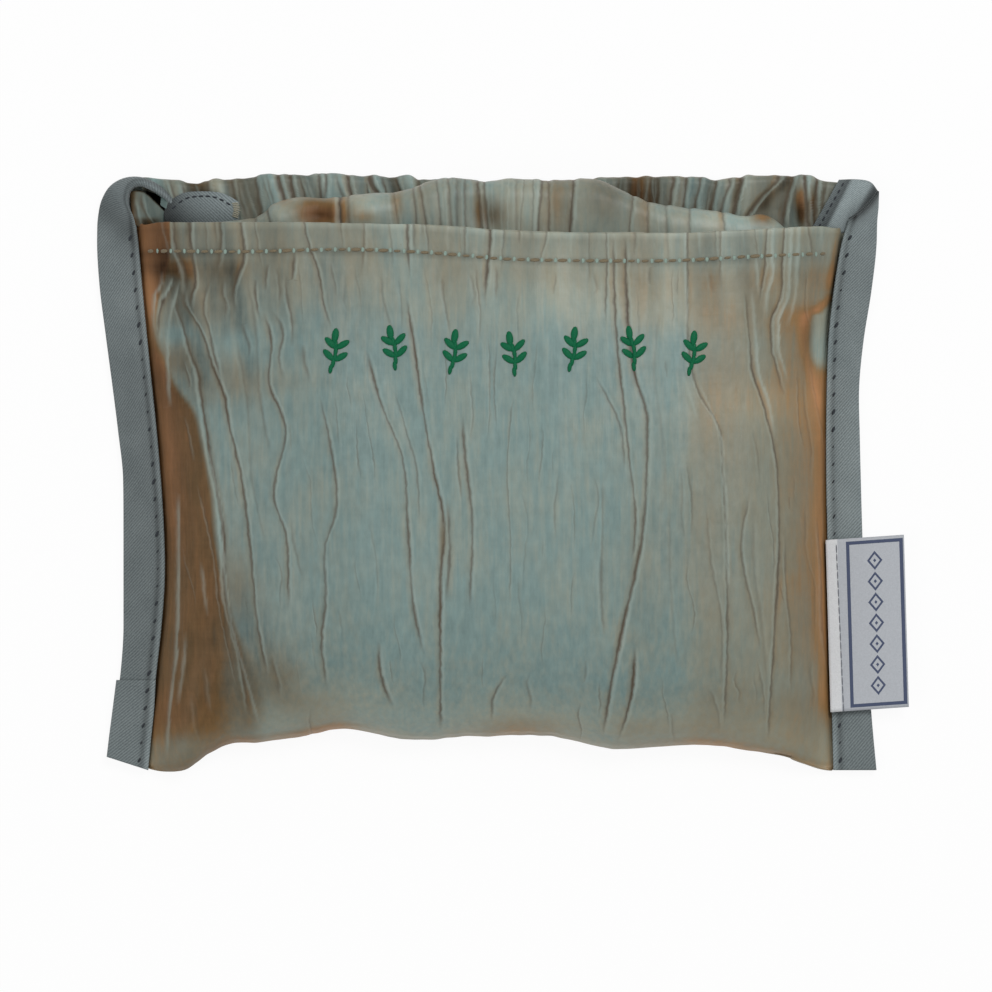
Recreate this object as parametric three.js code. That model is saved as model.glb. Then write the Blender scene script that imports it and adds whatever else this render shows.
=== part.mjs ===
// A folded shopping tote put away in its own bound pouch, lying on its back.
// Millimetres, +Z up. X runs across the pouch, +Y towards its mouth, and the underside rests at z = 0.
import * as THREE from 'three';

// Cloth, tape and label stock
const clothThickness = 0.4; // crinkled cloth with the air between its creases
const tapeThickness = 0.4;
const labelThickness = 0.35;
const layerGap = 0.3; // clearance between layers that lie on each other

// Pouch outline: how far the bound edges reach from the centre line
const leftTopReach = 97.5;
const leftWaistReach = 91;
const leftFootReach = 94.6;
const rightTopReach = 97.3;
const rightWaistReach = 92.4;
const rightFootReach = 96;
const leftWaistTop = 2; // where the drawn-in stretch of each side begins and ends
const leftWaistFoot = -38;
const rightWaistTop = 25;
const rightWaistFoot = 8;
const footLine = -73.4; // lower end of the bound edges
const foldLine = -64.8; // lowest line of the cloth at mid-width
const cornerDrop = 8.2; // how far the cloth corners hang below that line

// Mouth
const hemLine = 64; // front hem at its ends
const hemSag = 3.9; // and how far it dips between them
const hemDepth = 7.5;
const rimLine = 73.2; // where the back leaf starts to roll over
const rimCornerDip = 2.4;
const rimRadius = 1.8; // of the rolled back leaf, at mid-thickness
const turnInDepth = 25; // back leaf turned down inside the mouth

// Puffed front
const crownHeight = 24;
const mouthHeight = 20.4;
const sideShoulder = 45; // distance over which the front rises from a bound edge
const footShoulder = 40; // and from the bottom fold
const seamAllowance = 2.5; // flat margin where front and back meet at the bottom
const shoulderStart = 0.6; // flat margin past the tape before the front rises
const hemRunOut = 4; // the hem thins to one layer over this much before the tape

// Side bindings, a tape folded in a U round the seam
const bindingWidth = 9;
const doubledEndLength = 22; // left tape end turned back on itself
const doubledEndStep = 1; // and how much it stands out
const leftEndSlant = 3.2; // slanting cut of the left tape end
const tailRollShift = 2; // the tail moves inwards while it rolls over the rim
const tailSlantLength = 6.4; // and along this much of the turn-in
const tailInset = 5; // gap in plan between the bound seam and the tail inside it

// Folded tote
const toteHalfWidth = 68;
const toteCentre = 0.5;
const toteCrestLine = 73;
const toteCrestDrop = 9.4;
const toteFootLine = -50;
const toteFootRounding = 6;
const toteLayer = 1.6; // one folded layer, several plies
const toteEdgeThinning = 0.42; // share of the thickness lost at its long sides
const toteCoreSetback = 1; // the inner fold stops this short of the outer one at the crest
const toteCoreStart = 9; // and its free end starts this far in from the foot

// Carrying straps folded between the layers
const strapWidth = 25;
const strapThickness = 0.5;
const strapPasses = 3;
const strapLength = 100; // of one pass
const strapSpacing = 4; // gap between the two straps

// Loop label stitched on the right binding
const labelTop = -14.9;
const labelHeight = 42.5;
const labelOverhang = 9.6; // folded outer end, past the tape's edge
const labelSewnMargin = 2.5;
const labelBendGap = 0.7; // free stretch of the bend beside the stitches

// Sizes that follow from the ones above
const bindingGap = 2 * clothThickness + 3 * layerGap; // between the two flanges of a tape
const bindingHeight = bindingGap + 2 * tapeThickness;
const seamMiddle = bindingHeight / 2;
const leafOffset = (clothThickness + layerGap) / 2; // of each leaf from the middle of the seam
const clothEdgeInset = tapeThickness + layerGap + 0.1; // from the tape's outer edge to the cloth's
const strapStack = strapPasses * strapThickness + (strapPasses - 1) * layerGap;
const strapSlot = strapStack + 2 * layerGap;
const toteFloor = clothThickness + 2 * rimRadius + layerGap;
const hemThickness = 3 * clothThickness;
const flatMargin = bindingWidth - clothEdgeInset + shoulderStart; // from the cloth's edge to the rise

const clamp01 = (t) => Math.min(1, Math.max(0, t));
const smooth = (t) => clamp01(t) * clamp01(t) * (3 - 2 * clamp01(t));
const mix = (a, b, t) => a + (b - a) * t;
const spread = (from, to, count) => Array.from({ length: count + 1 }, (_, i) => mix(from, to, i / count));

// A shoulder that rises steeply from 0 and levels out at 1 after the given distance.
function shoulder(distance, length) {
  const left = 1 - clamp01(distance / length);
  return (1 - left * left) ** 0.65;
}

const sides = {
  left: {
    sign: -1,
    reach: (y) => sideReach(y, leftTopReach, leftWaistReach, leftFootReach, leftWaistTop, leftWaistFoot),
  },
  right: {
    sign: 1,
    reach: (y) => sideReach(y, rightTopReach, rightWaistReach, rightFootReach, rightWaistTop, rightWaistFoot),
  },
};

// Outer edge of a bound side: wide at the mouth, drawn in at the waist, wider again at the foot.
function sideReach(y, top, waist, foot, waistTop, waistFoot) {
  const flare = smooth((y - waistTop) / (hemLine - waistTop));
  const kick = smooth((waistFoot - y) / (waistFoot - footLine));
  return waist + (top - waist) * flare + (foot - waist) * kick;
}

const bottomLine = (x) => foldLine - cornerDrop * Math.abs(x / leftWaistReach) ** 3.3;
const hemEdge = (x) => hemLine - hemSag * (1 - (x / leftTopReach) ** 2);

// Line where the back leaf starts to roll: level inside the tapes, dipping towards them.
function rimStart(x) {
  const boundFrom = leftWaistReach - bindingWidth - tailInset;
  return rimLine - rimCornerDip * Math.min(1, Math.abs(x) / boundFrom) ** 6;
}

// Closed body of a sheet: place(a, b) is a point of its reference face, and it stands
// `above` over that face and `below` under it, measured square to it.
function sheet(columns, rows, place, above, below) {
  const step = 1e-3;
  const point = (a, b) => new THREE.Vector3(...place(a, b));
  const firstA = columns[0];
  const lastA = columns[columns.length - 1];
  const firstB = rows[0];
  const lastB = rows[rows.length - 1];
  const upper = [];
  const lower = [];
  for (const a of columns) {
    for (const b of rows) {
      const centre = point(a, b);
      const alongA = point(Math.min(a + step, lastA), b).sub(point(Math.max(a - step, firstA), b));
      const alongB = point(a, Math.min(b + step, lastB)).sub(point(a, Math.max(b - step, firstB)));
      const normal = alongA.cross(alongB).normalize();
      upper.push(centre.clone().addScaledVector(normal, above(a, b)));
      lower.push(centre.clone().addScaledVector(normal, -below(a, b)));
    }
  }
  const across = columns.length;
  const along = rows.length;
  const under = across * along;
  const top = (i, j) => i * along + j;
  const bottom = (i, j) => under + i * along + j;
  const index = [];
  const quad = (p, q, r, s) => index.push(p, q, r, p, r, s);
  for (let i = 0; i < across - 1; i += 1) {
    for (let j = 0; j < along - 1; j += 1) {
      quad(top(i, j), top(i + 1, j), top(i + 1, j + 1), top(i, j + 1));
      quad(bottom(i, j), bottom(i, j + 1), bottom(i + 1, j + 1), bottom(i + 1, j));
    }
    quad(bottom(i, 0), bottom(i + 1, 0), top(i + 1, 0), top(i, 0));
    quad(top(i, along - 1), top(i + 1, along - 1), bottom(i + 1, along - 1), bottom(i, along - 1));
  }
  for (let j = 0; j < along - 1; j += 1) {
    quad(top(0, j), top(0, j + 1), bottom(0, j + 1), bottom(0, j));
    quad(bottom(across - 1, j), bottom(across - 1, j + 1), top(across - 1, j + 1), top(across - 1, j));
  }
  const geometry = new THREE.BufferGeometry();
  const positions = [...upper, ...lower].flatMap((p) => [p.x, p.y, p.z]);
  geometry.setAttribute('position', new THREE.Float32BufferAttribute(positions, 3));
  geometry.setIndex(index);
  geometry.computeVertexNormals();
  return geometry;
}

// Columns across a leaf run from -1 at its left edge to 1 at its right one. Near an edge they
// keep their distance from it, so that the rise starts just past the tape at every height.
const nominalHalf = leftWaistReach;
const trueStretch = flatMargin + 20;
const rises = [0, 0.5, 1.4, 3, 5.5, 9, 14, 20].map((step) => flatMargin + step);
const edgeDistances = [0, flatMargin / 2, ...rises, ...spread(trueStretch, nominalHalf, 5).slice(1)];
const leftColumns = edgeDistances.map((distance) => distance / nominalHalf - 1);
const pouchColumns = [...leftColumns, ...leftColumns.slice(0, -1).reverse().map((t) => -t)];

// Distance in from the nearer cloth edge, for a leaf of the given half width.
function inFromCloth(u, half) {
  const nominal = (1 - Math.abs(u)) * nominalHalf;
  if (nominal <= trueStretch) return nominal;
  return mix(trueStretch, half, (nominal - trueStretch) / (nominalHalf - trueStretch));
}

// Front leaf: u across, v up from the bottom to the hem.
function frontPlace(u, v) {
  const guess = u * nominalHalf;
  const y = mix(bottomLine(guess), hemEdge(guess), v);
  const left = clothEdgeInset - sides.left.reach(y);
  const right = sides.right.reach(y) - clothEdgeInset;
  const inside = inFromCloth(u, (right - left) / 2);
  const x = u < 0 ? left + inside : right - inside;
  const fromFoot = y - bottomLine(guess) - seamAllowance;
  const fullHeight = mix(crownHeight, mouthHeight, smooth((v - 0.45) / 0.55));
  const seamTop = seamMiddle + leafOffset + clothThickness / 2;
  const rise = shoulder(inside - flatMargin, sideShoulder) * shoulder(fromFoot, footShoulder);
  return [x, y, seamTop + (fullHeight - seamTop) * rise];
}

function frontPanel() {
  const hemStart = 1 - hemDepth / (hemLine - hemSag - foldLine);
  const flatShare = seamAllowance / (hemLine - hemSag - foldLine);
  const foot = [0, flatShare, flatShare * 1.3, flatShare * 2, flatShare * 3.2, flatShare * 5];
  const rows = [...foot, ...spread(flatShare * 7, hemStart - 0.003, 10), hemStart, 1];
  const thickness = (u, v) => {
    const inside = inFromCloth(u, nominalHalf);
    const clearOfTape = smooth((inside - flatMargin - tailInset) / hemRunOut);
    return v >= hemStart ? mix(clothThickness, hemThickness, clearOfTape) : clothThickness;
  };
  return sheet(pouchColumns, rows, frontPlace, () => 0, thickness);
}

// Plan reach of a bound edge along the back leaf: b runs 0 to 1 up the flat, 1 to 2 round the
// roll and 2 to 3 down the turned-in part.
function edgeReach(side, b, y) {
  if (b <= 1) return side.reach(y);
  const rolled = side.reach(rimLine) - tailRollShift * smooth(b - 1);
  if (b <= 2) return rolled;
  const inside = side.reach(y) - bindingWidth - tailInset;
  return mix(rolled, inside, clamp01(((b - 2) * turnInDepth) / tailSlantLength));
}

// Middle line of the back leaf in the YZ plane, with the roll's own radius and starting height.
function leafPath(b, start, rim, floor, radius) {
  if (b <= 1) return [mix(start, rim, b), floor];
  if (b <= 2) {
    const angle = Math.PI * (b - 1);
    return [rim + radius * Math.sin(angle), floor + radius * (1 - Math.cos(angle))];
  }
  return [rim - turnInDepth * (b - 2), floor + 2 * radius];
}

function backPlace(u, b) {
  const guess = u * nominalHalf;
  const leafY = leafPath(b, bottomLine(guess), rimStart(guess), 0, rimRadius)[0];
  const left = clothEdgeInset - edgeReach(sides.left, b, leafY);
  const right = edgeReach(sides.right, b, leafY) - clothEdgeInset;
  const inside = inFromCloth(u, (right - left) / 2);
  const x = u < 0 ? left + inside : right - inside;
  const nearEdge = 1 - smooth((inside - flatMargin) / 3);
  const floor = mix(clothThickness / 2, seamMiddle - leafOffset, nearEdge);
  const [y, z] = leafPath(b, bottomLine(guess), rimStart(guess), floor, rimRadius);
  return [x, y, z];
}

function backPanel() {
  const turnIn = [2.06, 2.13, 2.2, tailSlantLength / turnInDepth + 2, 2.45, 2.72, 3];
  const rows = [...spread(0, 0.9, 9), 0.96, ...spread(1, 2, 8), ...turnIn];
  const half = () => clothThickness / 2;
  return sheet(pouchColumns, rows, backPlace, half, half);
}

// One bound edge: `a` runs round the folded tape from the lower flange to the upper one,
// b follows the edge of the back leaf up, over the rim and down inside.
function bindingPlace(side, endSlant, endStep) {
  const flange = seamMiddle - tapeThickness / 2;
  const radius = rimRadius - leafOffset;
  const rim = rimStart(nominalHalf);
  return (a, b) => {
    const round = Math.PI * clamp01(a - 1);
    const straight = bindingWidth - flange;
    const inFromEdge = flange + Math.max(1 - a, a - 2, 0) * straight - flange * Math.sin(round);
    const height = a <= 1 ? -flange : a >= 2 ? flange : -flange * Math.cos(round);
    const [y, z] = leafPath(b, footLine, rim, seamMiddle, radius);
    const turn = Math.PI * clamp01(b - 1);
    const doubled = endStep * (1 - smooth((y - footLine - doubledEndLength) / 1.5)) * (b < 1 ? 1 : 0);
    const slant = endSlant * (1 - inFromEdge / bindingWidth) * (1 - clamp01(b / 0.15));
    const x = side.sign * (edgeReach(side, b, y) + doubled * (1 - inFromEdge / bindingWidth) - inFromEdge);
    return [x, y + slant - height * Math.sin(turn), z + height * Math.cos(turn)];
  };
}

function binding(side, endSlant, endStep) {
  const across = [0, 0.5, 1, 1.25, 1.5, 1.75, 2, 2.5, 3];
  const step = (doubledEndLength + 0.2) / (rimLine - footLine);
  const flat = [0, 0.07, step, step + 0.014, ...spread(0.2, 0.95, 11)];
  const turnIn = [2.13, tailSlantLength / turnInDepth + 2, 2.63, 3];
  const rows = [...flat, ...spread(1, 2, 8), ...turnIn];
  const place = bindingPlace(side, endSlant, endStep);
  const half = () => tapeThickness / 2;
  return sheet(across, rows, place, half, half);
}

// Line of cloth folded over itself: b runs 0 to 1 along the first run, 1 to 2 round its bend and
// so on. Run i lies at levels[i] and goes from ends[i] to ends[i + 1]; it turns over at that end.
function foldedLine(b, levels, ends) {
  const stage = Math.min(Math.floor(b), 2 * levels.length - 2);
  const t = b - stage;
  const run = Math.floor(stage / 2);
  const onwards = Math.sign(ends[run + 1] - ends[run]);
  if (stage % 2 === 0) return [mix(ends[run], ends[run + 1], t), levels[run]];
  const radius = (levels[run + 1] - levels[run]) / 2;
  const out = onwards * Math.abs(radius) * Math.sin(Math.PI * t);
  return [ends[run + 1] + out, levels[run] + radius * (1 - Math.cos(Math.PI * t))];
}

// Rows along a folded line: a few on each run and enough round each bend.
function foldedRows(runs, onRun, onBend) {
  const rows = [];
  for (let stage = 0; stage < 2 * runs - 1; stage += 1) {
    rows.push(...spread(stage, stage + 1, stage % 2 === 0 ? onRun : onBend).slice(0, -1));
  }
  return [...rows, 2 * runs - 1];
}

const toteEdge = (x) => Math.abs((x - toteCentre) / toteHalfWidth);
const strapSpan = (strapWidth + strapSpacing) / toteHalfWidth;
const toteThinning = (x) => 1 - toteEdgeThinning * clamp01((toteEdge(x) - strapSpan) / (1 - strapSpan)) ** 2;

// The tote is rolled up flat: its core fold holds the straps, and the outermost fold makes the crest.
function toteBody() {
  const step = toteLayer + layerGap;
  const outerTop = 2 * step + toteLayer + strapSlot;
  const levels = [step, outerTop - step, 0, outerTop];
  const place = (u, b) => {
    const x = toteCentre + mix(-toteHalfWidth, toteHalfWidth, u);
    const crest = toteCrestLine - toteCrestDrop * toteEdge(x) ** 2.2 - (outerTop + toteLayer) / 2;
    const foot = toteFootLine + toteFootRounding * toteEdge(x) ** 6;
    const ends = [foot + toteCoreStart, crest - toteCoreSetback, foot, crest, foot];
    const [y, height] = foldedLine(b, levels, ends);
    return [x, y, toteFloor + (toteLayer / 2 + height) * toteThinning(x)];
  };
  const half = (u) => (toteLayer / 2) * toteThinning(toteCentre + mix(-toteHalfWidth, toteHalfWidth, u));
  return sheet(spread(0, 1, 18), foldedRows(levels.length, 5, 8), place, half, half);
}

function strap(side) {
  const slotFloor = toteFloor + 2 * toteLayer + layerGap;
  const lowest = slotFloor + layerGap + strapThickness / 2;
  const levels = Array.from({ length: strapPasses }, (_, i) => lowest + i * (strapThickness + layerGap));
  const middle = toteCentre + (side * (strapWidth + strapSpacing)) / 2;
  const front = toteCrestLine - toteCrestDrop - strapSlot;
  const ends = Array.from({ length: strapPasses + 1 }, (_, i) => (i % 2 ? front - strapLength : front));
  const place = (a, b) => [middle + mix(-strapWidth / 2, strapWidth / 2, a), ...foldedLine(b, levels, ends)];
  const half = () => strapThickness / 2;
  return sheet(spread(0, 1, 2), foldedRows(strapPasses, 2, 6), place, half, half);
}

// A folded ribbon of label cloth: two plies from `openEnd` to the fold at `foldEnd`.
function labelRibbon(openEnd, foldEnd) {
  const lower = bindingHeight + layerGap + labelThickness / 2;
  const radius = (labelThickness + layerGap) / 2;
  const outward = Math.sign(foldEnd - openEnd);
  const bendCentre = foldEnd - outward * (radius + labelThickness / 2);
  const place = (a, b) => {
    const y = labelTop - labelHeight * a;
    if (b <= 1) return [mix(openEnd, bendCentre, b), y, lower];
    if (b >= 2) return [mix(bendCentre, openEnd, b - 2), y, lower + 2 * radius];
    const angle = Math.PI * (b - 1);
    return [bendCentre + outward * radius * Math.sin(angle), y, lower + radius * (1 - Math.cos(angle))];
  };
  const half = () => labelThickness / 2;
  return sheet(spread(0, 1, 4), [0, 0.5, ...spread(1, 2, 6), 2.5, 3], place, half, half);
}

const finishes = {
  cloth: { color: 0x7f8d88, roughness: 0.55, metalness: 0 },
  tape: { color: 0x6d7779, roughness: 0.85, metalness: 0 },
  label: { color: 0xaeb2b7, roughness: 0.8, metalness: 0 },
  strap: { color: 0x6f7468, roughness: 0.7, metalness: 0 },
};

function part(name, geometry, finish) {
  const mesh = new THREE.Mesh(geometry, new THREE.MeshStandardMaterial(finish));
  mesh.name = name;
  return mesh;
}

const pouch = new THREE.Group();
pouch.add(part('front_panel', frontPanel(), finishes.cloth));
pouch.add(part('back_panel', backPanel(), finishes.cloth));
pouch.add(part('left_binding', binding(sides.left, leftEndSlant, doubledEndStep), finishes.tape));
pouch.add(part('right_binding', binding(sides.right, 0, 0), finishes.tape));
const labelSeam = sides.right.reach(labelTop - labelHeight); // tape's outer edge at the label's foot
const labelStitchLine = labelSeam - bindingWidth + labelSewnMargin;
const sewnOuter = labelStitchLine - labelBendGap;
pouch.add(part('label_sewn_edge', labelRibbon(sewnOuter, labelStitchLine - labelSewnMargin), finishes.label));

const label = new THREE.Group();
const labelFold = labelSeam + labelOverhang;
label.add(part('label_flap', labelRibbon(labelStitchLine + layerGap, labelFold), finishes.label));

const tote = new THREE.Group();
tote.add(part('tote_body', toteBody(), finishes.cloth));
tote.add(part('front_handle', strap(-1), finishes.strap));
tote.add(part('back_handle', strap(1), finishes.strap));

const group = new THREE.Group();
group.add(pouch, label, tote);
export default group;
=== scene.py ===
"""Dresses a packable shopping tote, folded away in its own bound pouch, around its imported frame.

Lengths are in millimetres and become metres where a mesh is made. X runs across the pouch, Y towards
its mouth and Z up, and the pouch lies on its back.
"""
import logging
import math
from collections.abc import Sequence
from dataclasses import dataclass, field
from enum import Enum

import bmesh
import bpy
import numpy as np
from mathutils import Matrix, Vector
from mathutils.bvhtree import BVHTree


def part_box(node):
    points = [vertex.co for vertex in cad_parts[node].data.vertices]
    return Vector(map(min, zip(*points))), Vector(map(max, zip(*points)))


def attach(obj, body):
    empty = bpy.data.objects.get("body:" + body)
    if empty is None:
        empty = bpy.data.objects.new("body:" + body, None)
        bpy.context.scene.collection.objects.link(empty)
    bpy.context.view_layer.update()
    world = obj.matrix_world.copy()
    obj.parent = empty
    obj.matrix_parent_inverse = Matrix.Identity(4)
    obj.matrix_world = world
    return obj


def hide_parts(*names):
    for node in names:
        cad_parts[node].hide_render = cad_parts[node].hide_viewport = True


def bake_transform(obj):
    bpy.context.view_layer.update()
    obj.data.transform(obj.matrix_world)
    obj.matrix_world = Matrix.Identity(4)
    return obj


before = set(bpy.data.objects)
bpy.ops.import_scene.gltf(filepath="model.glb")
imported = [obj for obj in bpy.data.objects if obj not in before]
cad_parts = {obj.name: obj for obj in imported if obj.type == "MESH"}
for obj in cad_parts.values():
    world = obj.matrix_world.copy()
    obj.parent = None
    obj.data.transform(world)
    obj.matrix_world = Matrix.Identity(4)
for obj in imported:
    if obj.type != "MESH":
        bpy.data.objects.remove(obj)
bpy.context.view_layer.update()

MM = 0.001
LOG = logging.getLogger("tote")
Array = np.ndarray
Material = bpy.types.Material
Piece = bpy.types.Object
Socket = bpy.types.NodeSocket
Tree = bpy.types.NodeTree


class Body(Enum):
    """The bodies of the frame that pieces ride on."""

    POUCH = "pouch"
    LABEL = "label"
    TOTE = "tote"


class Slot(Enum):
    """The material slots of the record."""

    CLOTH = "cloth"
    TAPE = "tape"
    LABEL = "label"
    STRAP = "strap"


def node_box(node: str) -> tuple[Vector, Vector]:
    """Corners of a node of the frame, in millimetres."""
    low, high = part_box(node)
    return low / MM, high / MM


def mix(start: Array, end: Array, share: Array) -> Array:
    """Goes from start to end as share goes from 0 to 1."""
    return start + (end - start) * share


def smooth(share: Array) -> Array:
    """A soft step from 0 to 1."""
    held = np.clip(share, 0.0, 1.0)
    return held * held * (3.0 - 2.0 * held)


def climb(place: Array, start: float, length: float) -> Array:
    """A soft step from 0 at start to 1 at start + length, which runs down where length is negative."""
    return smooth((place - start) / length)


def bell(distance: Array, width: float) -> Array:
    """A soft hump of height 1 that is about as wide as width on each side."""
    return np.exp(-((distance / width) ** 2))


def shoulder(distance: Array, length: float) -> Array:
    """A puffed edge: it rises steeply from 0 and levels out at 1 after length."""
    left = 1.0 - np.clip(distance / length, 0.0, 1.0)
    return (1.0 - left * left) ** 0.65


class Line:
    """A smooth line through a few chosen stations."""

    def __init__(self, *stations: tuple[float, float]) -> None:
        """Keeps the stations in order.

        Args:
            stations: Pairs of a place and the value there.
        """
        ordered = sorted(stations)
        self.places = np.array([place for place, _ in ordered])
        self.values = np.array([value for _, value in ordered])
        steps = np.abs(np.diff(self.values) / np.diff(self.places))
        limit = 3.0 * np.minimum(np.append(steps, steps[-1]), np.append(steps[0], steps))
        self.slopes = np.clip(np.gradient(self.values, self.places), -limit, limit)

    def at(self, place: Array | float) -> Array:
        """The line's value at each place, held level past its ends.

        Args:
            place: Where the value is wanted, one place or many.

        Returns:
            One value for each place.
        """
        held = np.clip(place, self.places[0], self.places[-1])
        after = np.clip(np.searchsorted(self.places, held), 1, len(self.places) - 1)
        gap = self.places[after] - self.places[after - 1]
        t = (held - self.places[after - 1]) / gap
        rise = self.values[after] - self.values[after - 1]
        start, end = self.slopes[after - 1] * gap, self.slopes[after] * gap
        bend = t * (1.0 - t)
        return self.values[after - 1] + rise * smooth(t) + start * bend * (1.0 - t) - end * bend * t


class Route:
    """A smooth path in space through a few chosen points."""

    def __init__(self, *points: tuple[float, float, float]) -> None:
        """Spaces the points by their distance.

        Args:
            points: Points in millimetres.
        """
        places = np.array(points, float)
        steps = np.linalg.norm(np.diff(places, axis=0), axis=1)
        self.length = float(steps.sum())
        along = np.concatenate([[0.0], np.cumsum(steps)]) / self.length
        self.axes = [Line(*zip(along, places[:, axis])) for axis in range(3)]

    def at(self, share: Array) -> Array:
        """Points at shares of the path, as rows of x, y and z."""
        return np.stack([axis.at(share) for axis in self.axes], axis=-1)


@dataclass(frozen=True)
class Ripple:
    """Smooth random swells over a plan, the same on each run."""

    seed: int
    across: float
    along: float

    def at(self, x: Array, y: Array) -> Array:
        """Heights from about -1 to 1 at places in millimetres.

        Args:
            x: Places across.
            y: Places along.

        Returns:
            One height for each place.
        """
        count = 64
        values = np.random.default_rng(self.seed).uniform(-1.0, 1.0, (count, count))
        u, v = x / self.across + 1000.0, y / self.along + 1000.0
        i, j = np.floor(u).astype(int), np.floor(v).astype(int)
        s, t = smooth(u - i), smooth(v - j)
        low = mix(values[i % count, j % count], values[(i + 1) % count, j % count], s)
        high = mix(values[i % count, (j + 1) % count], values[(i + 1) % count, (j + 1) % count], s)
        return mix(low, high, t)


# Outlines of the pouch in plan, measured on the photo at a quarter of a millimetre a pixel
LEFT_OUTER = Line((-73.4, -94.2), (-66, -93.8), (-51, -91.8), (-46, -91.4), (-40.9, -90.9), (-20.9, -90.9),
                  (-0.9, -91.0), (9.1, -92.0), (29.1, -94.5), (49.1, -97.0), (59.1, -97.5), (64.1, -97.3),
                  (69.1, -95.8), (72.0, -93.6), (74.0, -90.0))
LEFT_INNER = Line((-73.4, -85.6), (-50.4, -83.0), (-25.6, -80.75), (-0.6, -81.75), (30, -84.7), (64.1, -88.0))
RIGHT_OUTER = Line((-73.4, 96.9), (-60.9, 95.75), (-10.9, 93.25), (9.1, 92.75), (19.1, 92.5), (29.1, 93.0),
                   (39.1, 94.5), (49.1, 96.0), (59.1, 97.0), (70, 97.4), (73.5, 96.2))
RIGHT_INNER = Line((-73.4, 86.3), (-13.9, 84.75), (-0.4, 84.5), (37.9, 85.25), (50, 87.0), (63.6, 89.3))
HEM_EDGE = Line((-90, 62.9), (-84, 62.8), (-63, 62.6), (-33, 62.5), (-13, 61.9), (3.5, 60.6), (17.5, 60.0),
                (43, 60.0), (68, 61.0), (88, 62.0))
HEM_STITCH = Line((-84.5, 56.2), (-63, 55.8), (-33, 56.3), (-13, 55.4), (3.5, 54.0), (17.5, 53.6), (43, 53.5),
                  (68, 54.8), (85.5, 55.6))
RIM_EDGE = Line((-92, 73.6), (-87, 74.5), (-80, 74.0), (-72, 73.7), (-62, 74.6), (-47, 75.4), (-32, 75.0),
                (-18, 74.6), (-10, 73.6), (3, 73.4), (18, 73.5), (24, 74.2), (38, 74.9), (53, 74.6),
                (58, 73.9), (63, 74.6), (78, 75.0), (83, 73.9), (91, 73.2))
FOOT_EDGE = Line((-95, -68.4), (-88, -71.2), (-84.5, -73.1), (-79.5, -73.6), (-75.5, -72.8), (-73, -71.2),
                 (-69.5, -68.9), (-65.5, -67.0), (-57, -66.3),
                 (-47, -65.1), (-37, -62.8), (-22, -65.8), (-2, -64.9), (13, -65.0), (33, -67.6), (53, -66.9),
                 (73, -70.1), (85, -73.2), (92, -72.4), (97, -72.2))
HEM_DEPTH = 7.5
STITCH_INSET = 1.8  # of the tapes' seams, from the inner edge of the tape
RELIEF = 0.3  # how much of each crease stands up in the mesh; the finish draws the rest
CLOTH_INSET = 1.0  # of the cloth's raw edge inside the fold of the tape


def to_linear(code: str) -> tuple[float, float, float, float]:
    """Turns an sRGB hex colour into the linear colour that a socket takes.

    Args:
        code: Colour as six hex digits after a hash.

    Returns:
        Red, green, blue and an alpha of 1.
    """
    parts = [int(code[start:start + 2], 16) / 255.0 for start in (1, 3, 5)]
    linear = [part / 12.92 if part <= 0.04045 else ((part + 0.055) / 1.055) ** 2.4 for part in parts]
    return (linear[0], linear[1], linear[2], 1.0)


MIX_A, MIX_B, MIX_COLOUR = 6, 7, 2  # colour sockets of a Mix node


def add(tree: Tree, kind: str, inputs: dict | None = None, **settings: object) -> bpy.types.Node:
    """Adds a node with its settings and links.

    Args:
        tree: Tree that gets the node.
        kind: Type of the node, without the ShaderNode that starts each name.
        inputs: For each input, by name or number, a value, a socket or a node whose first output it takes.
        settings: Other values of the node, by name.

    Returns:
        The new node.
    """
    node = tree.nodes.new("ShaderNode" + kind)
    for name, value in settings.items():
        setattr(node, name, value)
    for name, value in (inputs or {}).items():
        if isinstance(value, bpy.types.Node):
            value = value.outputs[0]
        if isinstance(value, Socket):
            tree.links.new(value, node.inputs[name])
        else:
            node.inputs[name].default_value = value
    return node


def new_material(name: str) -> tuple[Material, Tree]:
    """An empty node material and its tree.

    Args:
        name: Name of the material.

    Returns:
        The material and its empty tree.
    """
    material = bpy.data.materials.new(name)
    material.use_nodes = True
    material.node_tree.nodes.clear()
    return material, material.node_tree


@dataclass(frozen=True)
class Crease:
    """One sharp crease in cloth, seen in plan.

    Its route is pairs of an X and a place along the cloth. Its dark line, partly copper weft and partly
    painted shade, lies on the route and a painted highlight on its ridge lies beside it, on the side given by
    its sign. A crease of negative darkness is a painted ridge highlight alone.
    """

    route: tuple[tuple[float, float], ...]
    width: float = 0.3
    dark: float = 0.8
    height: float = 0.5
    ridge: int = 1

    def line(self) -> Line:
        """X of the crease by its place along the cloth."""
        return Line(*[(along, x) for x, along in self.route])

    def reach(self) -> tuple[float, float]:
        """Lowest and highest place of the crease along the cloth."""
        places = [along for _, along in self.route]
        return min(places), max(places)

    def strength(self, along: Array) -> Array:
        """How strong the crease is at each place: it fades out towards its ends.

        Args:
            along: Places along the cloth.

        Returns:
            A share of 1, and 0 past the ends.
        """
        low, high = self.reach()
        fade = min(7.0, 0.35 * (high - low))
        return smooth((along - low) / fade) * smooth((high - along) / fade)


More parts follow.
